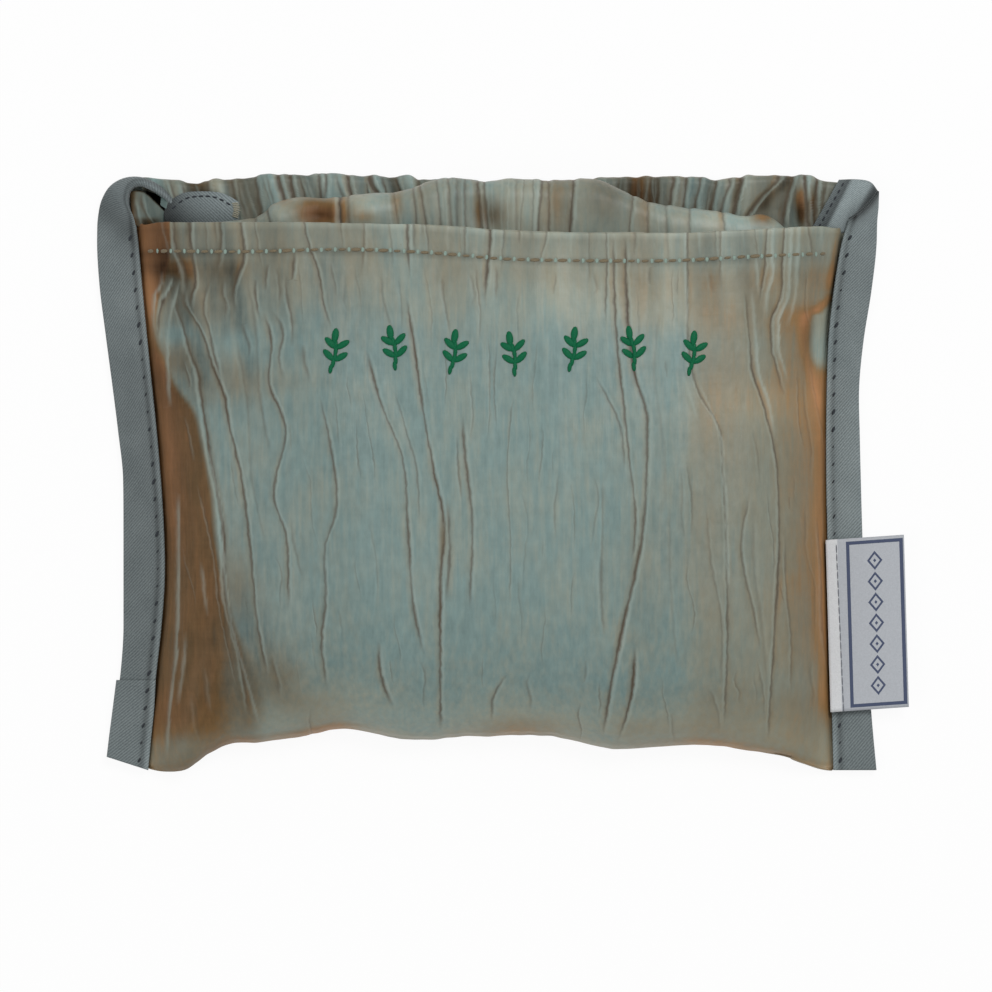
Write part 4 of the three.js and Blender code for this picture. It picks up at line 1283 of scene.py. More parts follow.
@dataclass
class RolledTote:
    """The tote itself, rolled up flat inside the pouch, its outer fold showing in the mouth."""

    left: float = -67.5
    right: float = 75.5
    half_width: float = 68.0
    middle: float = 0.5
    foot: float = -50.0
    layer: float = 1.6
    gap: float = 0.3
    core_setback: float = 3.5
    core_start: float = 9.0
    thickness: float = 0.9
    columns: int = 300
    run_rows: int = 10
    bend_rows: int = 14
    shown_rows: int = 44

    def crest(self, x: Array) -> Array:
        """Y of the outer fold that shows in the mouth.

        Args:
            x: Places across.

        Returns:
            One Y for each place.
        """
        return Line((-68, 63.2), (-60, 64.4), (-55, 65.6), (-51, 68.4), (-46.5, 69.5), (-36.5, 69.6),
                    (-28, 70.6), (-21.5, 71.7), (-16.5, 72.7), (-11.5, 73.9), (-6.5, 74.3), (5, 74.4),
                    (18, 73.9), (26, 73.6), (31, 72.5), (36, 70.6), (43, 68.1), (55.5, 66.3), (64.7, 65.1),
                    (68.5, 65.3), (71.5, 64.4), (75.5, 61.2)).at(x)

    def levels(self) -> tuple[float, ...]:
        """Heights of the four runs over the tote's underside, in the order in which the cloth goes.

        Returns:
            Four heights in millimetres.
        """
        step = self.layer + self.gap
        top = node_box("tote_body")[1].z - node_box("tote_body")[0].z - self.layer
        return (step, top - step, 0.0, top)

    def lay(self) -> LaidCloth:
        """Lays the folded line of the tote, run after run and bend after bend.

        Returns:
            The laid grid.
        """
        levels = self.levels()
        run = np.linspace(0, 1, self.run_rows + 1)
        bend = np.linspace(0, 1, self.bend_rows + 1)
        shown = (np.linspace(0.1, 1, self.shown_rows + 1) ** 2 - 0.01) / 0.99  # closer together at the crest
        hidden = [stage + (run if stage % 2 == 0 else bend)[:-1] for stage in range(6)]
        rows = np.concatenate(hidden + [6.0 + shown])
        cloth = LaidCloth("tote_cloth", self.columns, len(rows) - 1, self.thickness)
        a, b = cloth.steps()
        stage = np.interp(b * cloth.rows, np.arange(len(rows)), rows)
        x = mix(self.left, self.right, a)
        edge = np.abs(x - self.middle) / self.half_width
        ending = (levels[-1] + self.layer) / 2
        crest = self.crest(x) - ending
        foot = self.foot + 6.0 * edge ** 6
        ends = [foot + self.core_start, crest - self.core_setback, foot, crest, foot]
        y, z = np.zeros_like(x), np.zeros_like(x)
        for number in range(7):
            here = (stage >= number) & (stage <= number + 1)
            t = stage - number
            first, turn = number // 2, number % 2
            if turn == 0:
                y = np.where(here, mix(ends[first], ends[first + 1], t), y)
                z = np.where(here, levels[first], z)
                continue
            radius = (levels[first + 1] - levels[first]) / 2
            onward = 1.0 if first % 2 == 0 else -1.0
            y = np.where(here, ends[first + 1] + onward * abs(radius) * np.sin(math.pi * t), y)
            z = np.where(here, levels[first] + radius * (1.0 - np.cos(math.pi * t)), z)
        thinning = 1.0 - 0.42 * np.clip((edge - 0.43) / 0.57, 0.0, 1.0) ** 2
        low = node_box("tote_body")[0].z
        cloth.points = np.stack([x, y, low + (self.layer / 2 + z) * thinning], axis=-1)
        self.dress(cloth, x, y, stage, thinning)
        return cloth

    def dress(self, cloth: LaidCloth, x: Array, y: Array, stage: Array, thinning: Array) -> None:
        """Adds the pleats and hollows that show in the mouth, their colour shares and their painted shade.

        Args:
            cloth: The laid tote.
            x: Places across.
            y: Places along.
            stage: Number of the run or bend, counted from the inner end.
            thinning: How much of the full height is left at each place.
        """
        shown = climb(stage, 4.9, 0.3)
        along = y - 60.0
        lean = Line((-60, 0.12), (-12, 0.06), (0, 0.0), (60, 0.1))
        crops = [CreaseCrop(41, 14, (-26, 18), (18, 20), (24, 30), (0.25, 0.6), 0.3, lean=lean, wander=0.25),
                 CreaseCrop(42, 12, (-26, 18), (18, 20), (24, 30), (-1.0, -0.5), 0.2, lean=lean, wander=0.25),
                 CreaseCrop(43, 8, (40, 64), (18, 20), (24, 30), (-1.0, 0.5), 0.2, lean=lean, wander=0.25)]
        folds = ((-55.4, 1.6, 0.9, 1), (-59, 1.2, 0.7, 1), (-36.9, 0.3, 1.4, -1), (-34.8, 0.3, 0.5, 1),
                 (-18.5, 0.7, 1.0, 1), (-16.8, 1.3, 1.1, 1), (-12.5, 0.7, 0.8, 1), (-9.8, 0.6, 0.7, 1),
                 (-2.6, 0.8, 1.3, 1), (-0.9, 0.7, 1.1, 1), (13.3, -0.8, 1.2, -1), (15.2, 0.0, 0.9, 1),
                 (21.4, -0.8, 1.4, 1), (36.3, -1.0, 1.1, 1), (39.8, 0.0, 0.8, 1), (50.3, -0.2, 0.9, 1),
                 (57.2, 1.4, 1.0, 1), (44, 0.4, 0.5, 1))
        named = [Crease(((x - lean_by, 21), (x, 12), (x + lean_by, 3), (x + 2 * lean_by, -10)),
                        0.3 + 0.1 * dark, 0.8 * dark, 0.7, ridge) for x, lean_by, dark, ridge in folds]
        creases = CreaseSet(named, [crease for crop in crops for crease in crop.grow()])
        swells = 0.7 * Ripple(43, 12, 90).at(x, y) + 0.3 * Ripple(44, 4.5, 90).at(x, y)
        hollows = patches(x, along, [(-41.5, 5, 5, 2.8, -1.9), (-53, 5, 3, 3, 1.0), (0, 6, 3.4, 6, -1.2),
                                     (28, 8, 7, 7, 1.0), (9, 8, 5, 8, 0.6), (-30, 6, 5, 5, 0.9),
                                     (68.5, 4.4, 3, 1.8, 0.8)])
        near = climb(along, 1, 3)
        dents = np.maximum(swells + hollows, -0.5 - 2.0 * near) * thinning
        height = cloth.points[..., 2] - cloth.points[..., 2].min()
        sunk = 1.25 * np.minimum(dents, 0.0) * near * (1.0 - shown)
        cloth.points[..., 2] += sunk * height / height.max()
        cloth.push(-(dents + creases.relief(x, along)) * shown)
        cloth.marks = crease_attributes(creases, x, along)
        copper = 0.14 + 0.1 * Ripple(45, 5, 90).at(x, y) + patches(x, along, [
            (-41.5, 5.4, 6, 3.4, 1.0), (-50.8, 9, 1.6, 2, 0.45), (-57, 4.5, 5, 4, 0.14),
            (-22.5, 8, 1.8, 5, 0.4), (-30.4, 4.5, 2.6, 1.4, 0.3), (-17, 8, 3, 7, 0.2), (0.6, 5, 4, 4, 0.4),
            (17, 8, 2.6, 8, 0.26), (29, 9, 7, 6, 0.2), (38.5, 6, 2, 8, 0.22), (48, 4, 3, 4, 0.14),
            (57.8, 5, 1, 5, 0.3), (68.5, 4.2, 2.8, 1.6, 0.5), (-2.2, 8, 1.6, 6, 0.25)])
        cloth.marks["shot"] = np.clip(copper, 0.0, 1.0)
        # Painted shade in the hollows of the crest and painted light on the pale strips and swells beside
        # them, over a little uneven lightness
        tone_and_shade = 0.02 + 0.05 * Ripple(46, 4, 90).at(x, y) + patches(x, along, [
            (-41, 5.2, 5, 3.0, -0.48), (68.5, 4, 2.6, 1.6, -0.14), (-42, 9.4, 5, 1.0, 0.1),
            (-51, 5, 3, 2.4, 0.1), (-38, 6, 0.5, 6, 0.2), (0.8, 5, 3.6, 4, -0.3), (-2, 7, 1.4, 6, -0.2),
            (29, 9, 7, 7, -0.16), (-30, 7, 5, 3, 0.12), (48, 4, 9, 4, 0.06), (8, 9, 4, 8, 0.06),
            (60, 3, 8, 3, 0.14), (-7, 8, 2.4, 8, -0.1), (17, 7, 3, 8, -0.06)])
        cloth.marks["tone_and_shade"] = (1.0 + tone_and_shade) ** 2.2 - 1.0


@dataclass
class BoundTape:
    """Tape folded in a U round a bound seam, laid between its folded edge and its free edges."""

    name: str
    outer: Route
    inner: Route
    arch: Line
    gaps: Line
    # Painted shade and light along the tape, by share of its length
    shade: Line = Line((0, 0.0), (1, 0.0))
    ribs: float = 1.0  # which way the ribs of the twill lean
    thickness: float = 0.4
    across: int = 60
    along: int = 260

    def lay(self) -> LaidCloth:
        """Lays the tape from the free edge of its lower flange round the fold to the upper one.

        Returns:
            The laid grid.
        """
        tape = LaidCloth(self.name, self.across, self.along, self.thickness)
        a, b = tape.steps()
        fold, free = self.outer.at(b), self.inner.at(b)
        width = free - fold
        span = np.linalg.norm(width, axis=-1)
        run = np.gradient(fold + free, axis=1)
        up = np.cross(width, run)
        up /= np.maximum(np.linalg.norm(up, axis=-1, keepdims=True), 1e-9)
        up *= np.sign(up[..., 2:3] + 1e-6)
        half = self.gaps.at(b) / 2.0
        bend = np.clip((a - 0.4) / 0.2, 0.0, 1.0) * math.pi
        flat = np.where(a < 0.4, 1.0 - a / 0.4, np.where(a > 0.6, (a - 0.6) / 0.4, 0.0))
        inward = half + flat * (span - half) - half * np.sin(bend)
        pinch = mix(1.0, 0.8, flat ** 2)
        lift = -half * np.cos(bend) * pinch
        lift = lift + self.arch.at(b) * (1.0 - (2.0 * inward / span - 1.0) ** 2)
        run /= np.linalg.norm(run, axis=-1, keepdims=True)
        lay_along = b * self.outer.length + (width * run).sum(axis=-1) * inward / span
        ripple = 0.1 * Ripple(51, 5, 7).at(inward, lay_along) * flat
        tape.points = fold + width * (inward / span)[..., None] + up * (lift + ripple)[..., None]
        side = np.where(a < 0.5, -1.0, 1.0)
        # Painted shade in the dip along the stitches of the upper flange, and a lighter band along its free
        # edge
        drawn = 0.32 * bell(span - inward - 0.4, 0.8) - 0.28 * bell(span - inward - STITCH_INSET - 0.1, 0.75)
        tape.marks = {"lay": np.stack([inward * side * self.ribs, lay_along, np.zeros_like(a)], axis=-1),
                      "tone_and_shade": self.shade.at(b) + drawn * (a > 0.5)}
        return tape


@dataclass
class Flap:
    """A small free patch of tape or cloth, ruled between two edges and arched across.

    The arch is highest half way at a lift of 1, and nearer the upper edge at a larger one.
    """

    name: str
    upper: Route
    lower: Route
    arch: float
    # Painted shade along the patch, by share of its length
    shade: Line
    lift: float = 1.0
    thickness: float = 0.4
    across: int = 16
    along: int = 36

    def lay(self) -> LaidCloth:
        """Lays the patch between its edges.

        Returns:
            The laid grid.
        """
        flap = LaidCloth(self.name, self.along, self.across, self.thickness)
        a, b = flap.steps()
        low, high = self.lower.at(a), self.upper.at(a)
        flap.points = mix(low, high, b[..., None])
        flap.points[..., 2] += self.arch * np.sin(math.pi * b ** self.lift)
        span = np.linalg.norm(high - low, axis=-1)
        flap.marks = {"lay": np.stack([b * span, a * self.upper.length, np.zeros_like(a)], axis=-1),
                      "tone_and_shade": self.shade.at(a)}
        return flap


@dataclass
class StitchRow:
    """A row of stitches that lie on a surface, each a small rounded run of thread."""

    name: str
    length: float
    width: float
    height: float
    slant: float = 0.0
    vary: float = 0.0  # how far the size of single stitches strays, as a share

    def build(self, places: Sequence[tuple[Vector, Vector, Vector]]) -> Piece:
        """Makes the row.

        Args:
            places: For each stitch its middle in millimetres, its direction and its surface normal.

        Returns:
            One object that holds all stitches of the row.
        """
        row = bmesh.new()
        lay = row.verts.layers.float_vector.new("lay")
        sizes = 1.0 + self.vary * np.random.default_rng(len(places)).uniform(-1.0, 1.0, len(places))
        for size, (middle, direction, normal) in zip(sizes, places):
            side = normal.cross(direction).normalized()
            turn = Matrix((direction, side, normal)).transposed().to_4x4()
            if self.slant:
                turn = turn @ Matrix.Rotation(self.slant, 4, "Z")
            made = bmesh.ops.create_uvsphere(row, u_segments=8, v_segments=6, radius=1.0)["verts"]
            for vert in made:
                vert[lay] = Vector((vert.co.y * self.width, vert.co.x * self.length, 0.0)) / 2.0
                vert.co.x = math.copysign(abs(vert.co.x) ** 0.75, vert.co.x)
            scale = Matrix.Diagonal((self.length / 2 * size, self.width / 2 * size, self.height / 2, 1.0))
            shift = Matrix.Translation((middle + normal * self.height * 0.12) * MM)
            bmesh.ops.transform(row, matrix=shift @ turn @ scale @ Matrix.Scale(MM, 4), verts=made)
        LOG.info("%s: %d stitches", self.name, len(places))
        return new_piece(self.name, row)


class Surface:
    """The top of a finished piece, found by looking straight down at it."""

    def __init__(self, piece: Piece) -> None:
        """Reads the piece with its modifiers.

        Args:
            piece: The finished piece.
        """
        evaluated = piece.evaluated_get(bpy.context.evaluated_depsgraph_get())
        mesh = evaluated.to_mesh()
        corners = [vertex.co.copy() for vertex in mesh.vertices]
        faces = [tuple(polygon.vertices) for polygon in mesh.polygons]
        self.tree = BVHTree.FromPolygons(corners, faces)
        evaluated.to_mesh_clear()

    def under(self, x: float, y: float) -> tuple[Vector, Vector]:
        """Point in millimetres and normal of the surface under a place in plan.

        Args:
            x: Place across.
            y: Place towards the mouth.

        Returns:
            The point and the normal, or the table where nothing lies there.
        """
        point, normal, _, _ = self.tree.ray_cast(Vector((x * MM, y * MM, 0.2)), Vector((0, 0, -1)))
        if point is None:
            return Vector((x, y, 0.0)), Vector((0, 0, 1))
        return point / MM, normal if normal.z > 0 else -normal

    def run(self, plan: Sequence[tuple[float, float]]) -> list[tuple[Vector, Vector, Vector]]:
        """Places on the surface along a line in plan, each with its direction and normal.

        Args:
            plan: Pairs of X and Y along the line.

        Returns:
            Middle, direction and normal of each.
        """
        found = []
        for number, (x, y) in enumerate(plan):
            before, after = plan[max(number - 1, 0)], plan[min(number + 1, len(plan) - 1)]
            point, normal = self.under(x, y)
            start, end = self.under(*before)[0], self.under(*after)[0]
            direction = (end - start).normalized()
            direction = (direction - normal * direction.dot(normal)).normalized()
            found.append((point, direction, normal))
        return found


def finish_piece(piece: Piece, material: Material, body: Body,
                 replaced: Sequence[str] = ()) -> Piece:
    """Gives a piece its finish, its body and the nodes that it stands for.

    Args:
        piece: What gets them.
        material: The finish.
        body: Body it rides on.
        replaced: Nodes it stands for.

    Returns:
        The same piece.
    """
    piece.data.materials.clear()
    piece.data.materials.append(material)
    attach(piece, body.value)
    if replaced:
        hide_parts(*replaced)
    return piece


@dataclass
class Pouch:
    """The pouch: two leaves of cloth, two bound sides and the threads that hold them."""

    cloth: Material
    tape: Material
    navy: Material
    copper_thread: Material
    glint: Material
    fray: Material
    hem_pitch: float = 3.42
    hem_level: float = 57.0  # where the ends of the hem's seam are taken
    seam_pitch: float = 4.35
    seam_length: float = 136.0
    foot: float = -73.4
    doubled_top: float = -51.5  # below it the left seam goes through the doubled end

    def build(self) -> Surface:
        """Makes the pouch.

        Returns:
            The surface of the front, on which the embroidery goes.
        """
        front = FrontLeaf().lay().build(offset=-1.0)
        finish_piece(front, self.cloth, Body.POUCH, ["front_panel"])
        back = BackLeaf().lay().build(offset=0.0)
        finish_piece(back, self.cloth, Body.POUCH, ["back_panel"])
        surface = Surface(front)
        self.sew_hem(surface)
        self.bind()
        return surface

    def sew_hem(self, surface: Surface) -> None:
        """Sews the topstitch of the hem: long copper stitches with a glint of cloth between them.

        Args:
            surface: Top of the front.
        """
        start, end = (inner.at(self.hem_level) for inner in (LEFT_INNER, RIGHT_INNER))
        count = int((end - start - 2.0) / self.hem_pitch)
        xs = [float(start) + 1.5 + self.hem_pitch * (step + 0.5) for step in range(count)]
        plan = [(x, float(HEM_STITCH.at(x))) for x in xs]
        stitches = StitchRow("hem_stitches", 2.2, 0.85, 0.5, slant=0.05, vary=0.2).build(surface.run(plan))
        finish_piece(stitches, self.copper_thread, Body.POUCH)
        # Painted highlight: pale spots between the stitches where light catches the puckered cloth
        between = [(x + self.hem_pitch / 2, y) for x, y in plan[:-1]]
        glints = StitchRow("hem_stitch_puckers", 0.8, 1.25, 0.25).build(surface.run(between))
        finish_piece(glints, self.glint, Body.POUCH)

    def bind(self) -> None:
        """Lays both tapes with their turned-over ends and sews them."""
        heights = np.linspace(self.foot, 60.0, 12)
        left_outer = [(float(LEFT_OUTER.at(y)), float(y), 1.25) for y in heights]
        left_inner = [(float(LEFT_INNER.at(y)), float(y), 1.25) for y in heights]
        left_outer[0], left_inner[0] = (-93.4, -69.0, 1.25), (-85.2, -72.0, 1.25)
        # The last line of each tape is its painted shade along it: darkest near the left curl and at the cut
        # end of the right tape
        left = BoundTape(
            "left_tape",
            Route(*left_outer, (-97.3, 64.5, 1.3), (-96.2, 69.4, 1.5), (-94.3, 72.4, 1.9),
                  (-91.6, 74.1, 2.4), (-88.6, 74.7, 2.9), (-86.0, 74.4, 3.2), (-82.7, 72.9, 3.3),
                  (-80.2, 71.0, 3.1), (-78.3, 69.0, 2.8), (-76.4, 66.2, 2.2)),
            Route(*left_inner, (-88.2, 64.0, 1.5), (-89.9, 68.0, 2.2), (-89.7, 70.6, 2.8),
                  (-88.4, 72.2, 3.2), (-86.6, 72.6, 3.3), (-84.5, 71.8, 3.3), (-82.2, 70.6, 3.1),
                  (-80.2, 68.9, 2.8), (-78.2, 66.0, 2.2)),
            Line((0, 0), (0.78, 0), (0.84, 0.8), (0.88, 1.6), (0.93, 1.9), (1, 1.0)),
            Line((0, 1.5), (0.8, 1.5), (0.88, 1.1), (1, 1.0)),
            Line((0, -0.27), (0.12, -0.32), (0.45, -0.32), (0.6, -0.3), (0.7, -0.2), (0.76, -0.18),
                 (0.8, -0.3), (0.83, -0.52), (0.88, -0.25), (0.95, -0.2), (1, -0.35)), -1.0)
        finish_piece(left.lay().build(), self.tape, Body.POUCH, ["left_binding"])
        doubled = BoundTape(
            "left_tape_end",
            Route((-92.7, -50.9, 1.5), (-93.6, -58, 1.5), (-94.5, -65, 1.5), (-95.1, -70.1, 1.5)),
            Route((-83.0, -50.9, 1.5), (-83.4, -58, 1.5), (-84.2, -66, 1.5), (-84.9, -73.4, 1.5)),
            Line((0, 0), (1, 0)), Line((0, 2.0), (1, 2.0)), Line((0, -0.25), (1, -0.2)), along=60)
        finish_piece(doubled.lay().build(), self.tape, Body.POUCH)
        heights = np.linspace(self.foot, 58.0, 12)
        right_outer = [(float(RIGHT_OUTER.at(y)), float(y), 1.25) for y in heights]
        right_inner = [(float(RIGHT_INNER.at(y)), float(y), 1.25) for y in heights]
        right = BoundTape(
            "right_tape",
            Route(*right_outer, (97.1, 64.0, 1.6), (97.4, 68.0, 2.4), (97.4, 71.2, 3.7)),
            Route(*right_inner, (88.9, 60.4, 1.5), (89.4, 62.2, 2.0), (89.8, 64.2, 3.0)),
            Line((0, 0), (0.9, 0.1), (1, 1.5)),
            Line((0, 1.5), (0.9, 1.5), (1, 1.1)),
            Line((0, -0.2), (0.12, -0.18), (0.25, 0), (0.6, 0.03), (0.85, -0.12), (0.92, -0.1), (0.975, 0.0),
                 (0.99, -0.3), (1, -0.75)))
        finish_piece(right.lay().build(), self.tape, Body.POUCH, ["right_binding"])
        self.turned_ends()
        for tape, inner, sign in (("left_tape", LEFT_INNER, -1), ("right_tape", RIGHT_INNER, 1)):
            count = int(self.seam_length / self.seam_pitch)
            ys = [self.foot + 2.5 + self.seam_pitch * step for step in range(count)]
            plan = [(float(inner.at(y)) + sign * STITCH_INSET, y) for y in ys]
            row = StitchRow(f"{tape}_stitches", 1.25, 0.56, 0.4, slant=-0.45, vary=0.4)
            low = [place for place in plan if sign < 0 and place[1] < self.doubled_top]
            found = Surface(bpy.data.objects[tape]).run([place for place in plan if place not in low])
            if low:
                found += Surface(bpy.data.objects["left_tape_end"]).run(low)
            finish_piece(row.build(found), self.navy, Body.POUCH)

    def turned_ends(self) -> None:
        """Lays the tape ends inside the mouth and the corner of cloth in the left curl, all with painted
        shade.
        """
        # The tails carry painted shade: the left one in the shade of the curl, the right one along its fold
        # and its left band
        left_tail = Flap(
            "left_tape_tail",
            Route((-81.0, 66.6, 3.2), (-78.8, 69.1, 4.4), (-76.0, 70.7, 5.0), (-71.8, 71.1, 5.2),
                  (-67.0, 70.8, 5.0), (-64.6, 69.9, 4.8), (-62.2, 68.4, 4.6)),
            Route((-80.4, 62.0, 2.6), (-78, 61.5, 3.0), (-74, 61.5, 3.2), (-70, 61.5, 3.2),
                  (-66.0, 61.8, 3.2), (-64.0, 62.2, 3.3), (-62.0, 62.8, 3.4)),
            1.0, Line((0, -0.85), (0.14, -0.75), (0.35, -0.35), (0.6, 0.0), (1, 0.12)))
        left_end = finish_piece(left_tail.lay().build(), self.tape, Body.POUCH)
        right_tail = Flap(
            "right_tape_tail",
            Route((97.3, 71.3, 2.2), (95.6, 73.4, 3.0), (92.4, 74.1, 3.5), (87.6, 74.0, 3.9)),
            Route((91.4, 61.4, 1.2), (88.4, 60.8, 1.4), (86.4, 60.2, 3.0), (83.6, 59.4, 4.6),
                  (79.2, 59.0, 4.8)),
            1.3,
            Line((0, -0.85), (0.14, -0.6), (0.27, 0.3), (0.6, 0.35), (0.7, 0.0), (0.75, -0.6), (0.84, -0.55),
                 (0.88, -0.48), (1, -0.35)),
            lift=1.5)
        right_end = finish_piece(right_tail.lay().build(), self.tape, Body.POUCH)
        self.sew_ends(left_end, right_end)
        ear = Flap(
            "curl_cloth",
            Route((-89.4, 71.0, 1.6), (-87.6, 71.4, 2.8), (-85.2, 71.2, 3.5), (-82.4, 70.2, 3.6),
                  (-78.5, 64.0, 3.0)),
            Route((-88.8, 63.4, 1.6), (-87.0, 62.4, 2.2), (-85.0, 62.2, 2.6), (-82.0, 62.0, 2.6),
                  (-78.0, 62.0, 2.6)),
            0.5, Line((0, 0.0), (1, 0.0)), across=40)
        cloth = ear.lay()
        x, y = cloth.points[..., 0], cloth.points[..., 1]
        folds = CreaseSet([Crease(((-86.8, 72), (-86, 67), (-84.6, 64), (-80, 60)), 0.34, 0.9, 0.5),
                           Crease(((-89, 70), (-87.8, 65), (-87, 61)), 0.4, 0.9, 0.5)], [])
        # Painted shade on the corner of cloth: darkest in the crescent under the curl, darker at its left
        # edge and at its foot, where more copper shows too
        bend = Line((-90, 71.4), (-86.2, 71.0), (-82.8, 68.2), (-78.8, 64.1)).at(x)
        hollow = smooth((y - bend) / 0.7 + 0.5)
        foot = climb(y, 65.2, -1.6) * climb(x, -81, -3)
        cloth.marks = crease_attributes(folds, x, y)
        cloth.marks["shot"] = 0.16 + 0.4 * climb(x, -87.4, -1.4) + 0.5 * hollow + 0.4 * foot
        tone_and_shade = -0.24 - 0.72 * hollow - 0.3 * climb(x, -87.8, -1.4) - 0.25 * foot
        cloth.marks["tone_and_shade"] = (1.0 + np.maximum(tone_and_shade, -0.9)) ** 2.2 - 1.0
        finish_piece(cloth.build(), self.cloth, Body.POUCH)

    def sew_ends(self, left_end: Piece, right_end: Piece) -> None:
        """Sews the two tape ends near their edges and frays the end of the left one.

        Args:
            left_end: Tail of the left tape.
            right_end: Tail of the right tape.
        """
        edge = Line((-78.6, 67.0), (-76, 69.0), (-71.8, 69.9), (-67.4, 69.4), (-64.4, 67.8))
        xs = np.arange(-78.4, -64.2, 1.7)
        found = Surface(left_end).run([(float(x), float(edge.at(x))) for x in xs])
        ys = np.arange(62.6, 73.0, 1.7)
        found += Surface(right_end).run([(float(82.8 + 0.56 * (y - 62.6)), float(y)) for y in ys])
        finish_piece(StitchRow("tape_end_stitches", 1.3, 0.5, 0.3).build(found), self.navy, Body.POUCH)
        strands = [(-62.6 - 0.12 * abs(number - 4), 64.8 + 0.42 * number) for number in range(9)]
        frayed = StitchRow("frayed_tape_end", 1.9, 0.42, 0.4, slant=1.4).build(Surface(left_end).run(strands))
        finish_piece(frayed, self.fray, Body.POUCH)


@dataclass
class LoopLabel:
    """A woven label folded to a loop, sewn on the right tape and free past its stitches."""

    top: float = -15.9
    height: float = 43.0
    sewn_edge: float = 84.3
    reach: float = 19.4
    tilt: float = math.radians(1.8)
    ply: float = 0.35
    gap: float = 0.3
    seam: float = 89.1
    field_middle: float = 12.1  # of the framed field, from the sewn edge
    stitches: int = 19
    stitch_pitch: float = 2.2
    across: int = 44
    along: int = 72

    def build(self, label: Material, thread: Material) -> None:
        """Lays the label, bends it at its stitches and sews it on.

        Args:
            label: Finish of the label.
            thread: Finish of the thread.
        """
        cloth = LaidCloth("woven_label", self.along, self.across, self.ply)
        b, a = cloth.steps()
        low = node_box("label_flap")[0].z + self.ply / 2
        radius = (self.ply + self.gap) / 2
        flat = self.reach - radius
        stage = b * 3.0
        out = np.where(stage < 1.4, stage / 1.4 * flat,
                       np.where(stage > 1.6, (3.0 - stage) / 1.4 * flat, flat))
        turn = np.clip((stage - 1.4) / 0.2, 0.0, 1.0) * math.pi
        out = out + radius * np.sin(turn)
        rise = radius * (1.0 - np.cos(turn))
        down = a * self.height
        lift = 0.9 * climb(out, 6, 13) * (0.35 + 0.65 * (1.0 - a) ** 2)
        lift += 0.12 * Ripple(61, 7, 11).at(out, down)
        x = self.sewn_edge + out * math.cos(self.tilt) + (self.height - down) * math.sin(self.tilt) * 0.9
        y = self.top - self.height + down + out * math.sin(self.tilt * 2.2)
        cloth.points = np.stack([x, y, low + rise + lift], axis=-1)
        upper = np.where(b > 0.5, 1.0, 0.0)
        cloth.marks = {"lay": np.stack([out - self.field_middle, down - self.height / 2, upper], axis=-1)}
        piece = cloth.build()
        piece.data.materials.append(label)
        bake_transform(piece)
        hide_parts("label_sewn_edge", "label_flap")
        rows = [self.top - self.height + 1.2 + self.stitch_pitch * step for step in range(self.stitches)]
        plan = [(86.9 + 0.044 * (self.top - y), y) for y in rows]
        seam = StitchRow("label_stitches", 2.15, 0.32, 0.25).build(Surface(piece).run(plan))
        finish_piece(seam, thread, Body.POUCH)


@dataclass
class Embroidery:
    """A row of small leafy sprigs in satin stitch: stems of overlapping stitches with paired leaves."""

    first: float = -38.5
    last: float = 50.5
    middle: float = 30.6
    sprigs: int = 7
    stem: float = 9.6
    height: float = 0.42

    def places(self, surface: Surface) -> list[tuple[Vector, Vector, Vector, float, float]]:
        """Middle, direction, normal, length and width of each leaf and stem stitch.

        Args:
            surface: Top of the front.

        Returns:
            One entry for each stitch.
        """
        found = []
        for number in range(self.sprigs):
            x = self.first + (self.last - self.first) * number / (self.sprigs - 1)
            lean = math.radians(8.0 * (-1) ** number)
            up = Vector((math.sin(lean), math.cos(lean), 0.0))
            side = Vector((up.y, -up.x, 0.0))
            base = Vector((x, self.middle + 0.8 * math.sin(number * 1.7), 0.0)) - up * self.stem / 2
            marks = []
            for step in range(6):
                bow = side * 0.7 * math.sin(math.pi * step / 5)
                marks.append((base + up * (0.8 + self.stem * 0.78 * step / 5) + bow, up, 2.5, 1.05))
            marks.append((base + up * (self.stem - 0.4), up, 3.7, 1.8))
            for step, turn in ((0.3, 1), (0.3, -1), (0.62, 1), (0.62, -1)):
                way = (up * 0.62 + side * turn * 0.78).normalized()
                marks.append((base + up * self.stem * step + side * 0.6 + way * 2.0, way, 3.8, 1.65))
            for point, way, length, width in marks:
                place, normal = surface.under(point.x, point.y)
                flat = (way - normal * way.dot(normal)).normalized()
                found.append((place, flat, normal, length, width))
        return found

    def build(self, surface: Surface, thread: Material) -> None:
        """Makes all sprigs as one raised piece on the front.

        Args:
            surface: Top of the front.
            thread: Finish of the thread.
        """
        sprigs = bmesh.new()
        lay = sprigs.verts.layers.float_vector.new("lay")
        for middle, direction, normal, length, width in self.places(surface):
            side = normal.cross(direction).normalized()
            turn = Matrix((direction, side, normal)).transposed().to_4x4()
            made = bmesh.ops.create_uvsphere(sprigs, u_segments=12, v_segments=8, radius=1.0)["verts"]
            for vert in made:
                vert[lay] = Vector((0.0, vert.co.x * length / 2 + abs(vert.co.y) * width / 2, 0.0))
            scale = Matrix.Diagonal((length / 2, width / 2, self.height, 1.0))
            shift = Matrix.Translation((middle + normal * 0.1) * MM)
            bmesh.ops.transform(sprigs, matrix=shift @ turn @ scale @ Matrix.Scale(MM, 4), verts=made)
        finish_piece(new_piece("embroidered_sprigs", sprigs), thread, Body.POUCH)


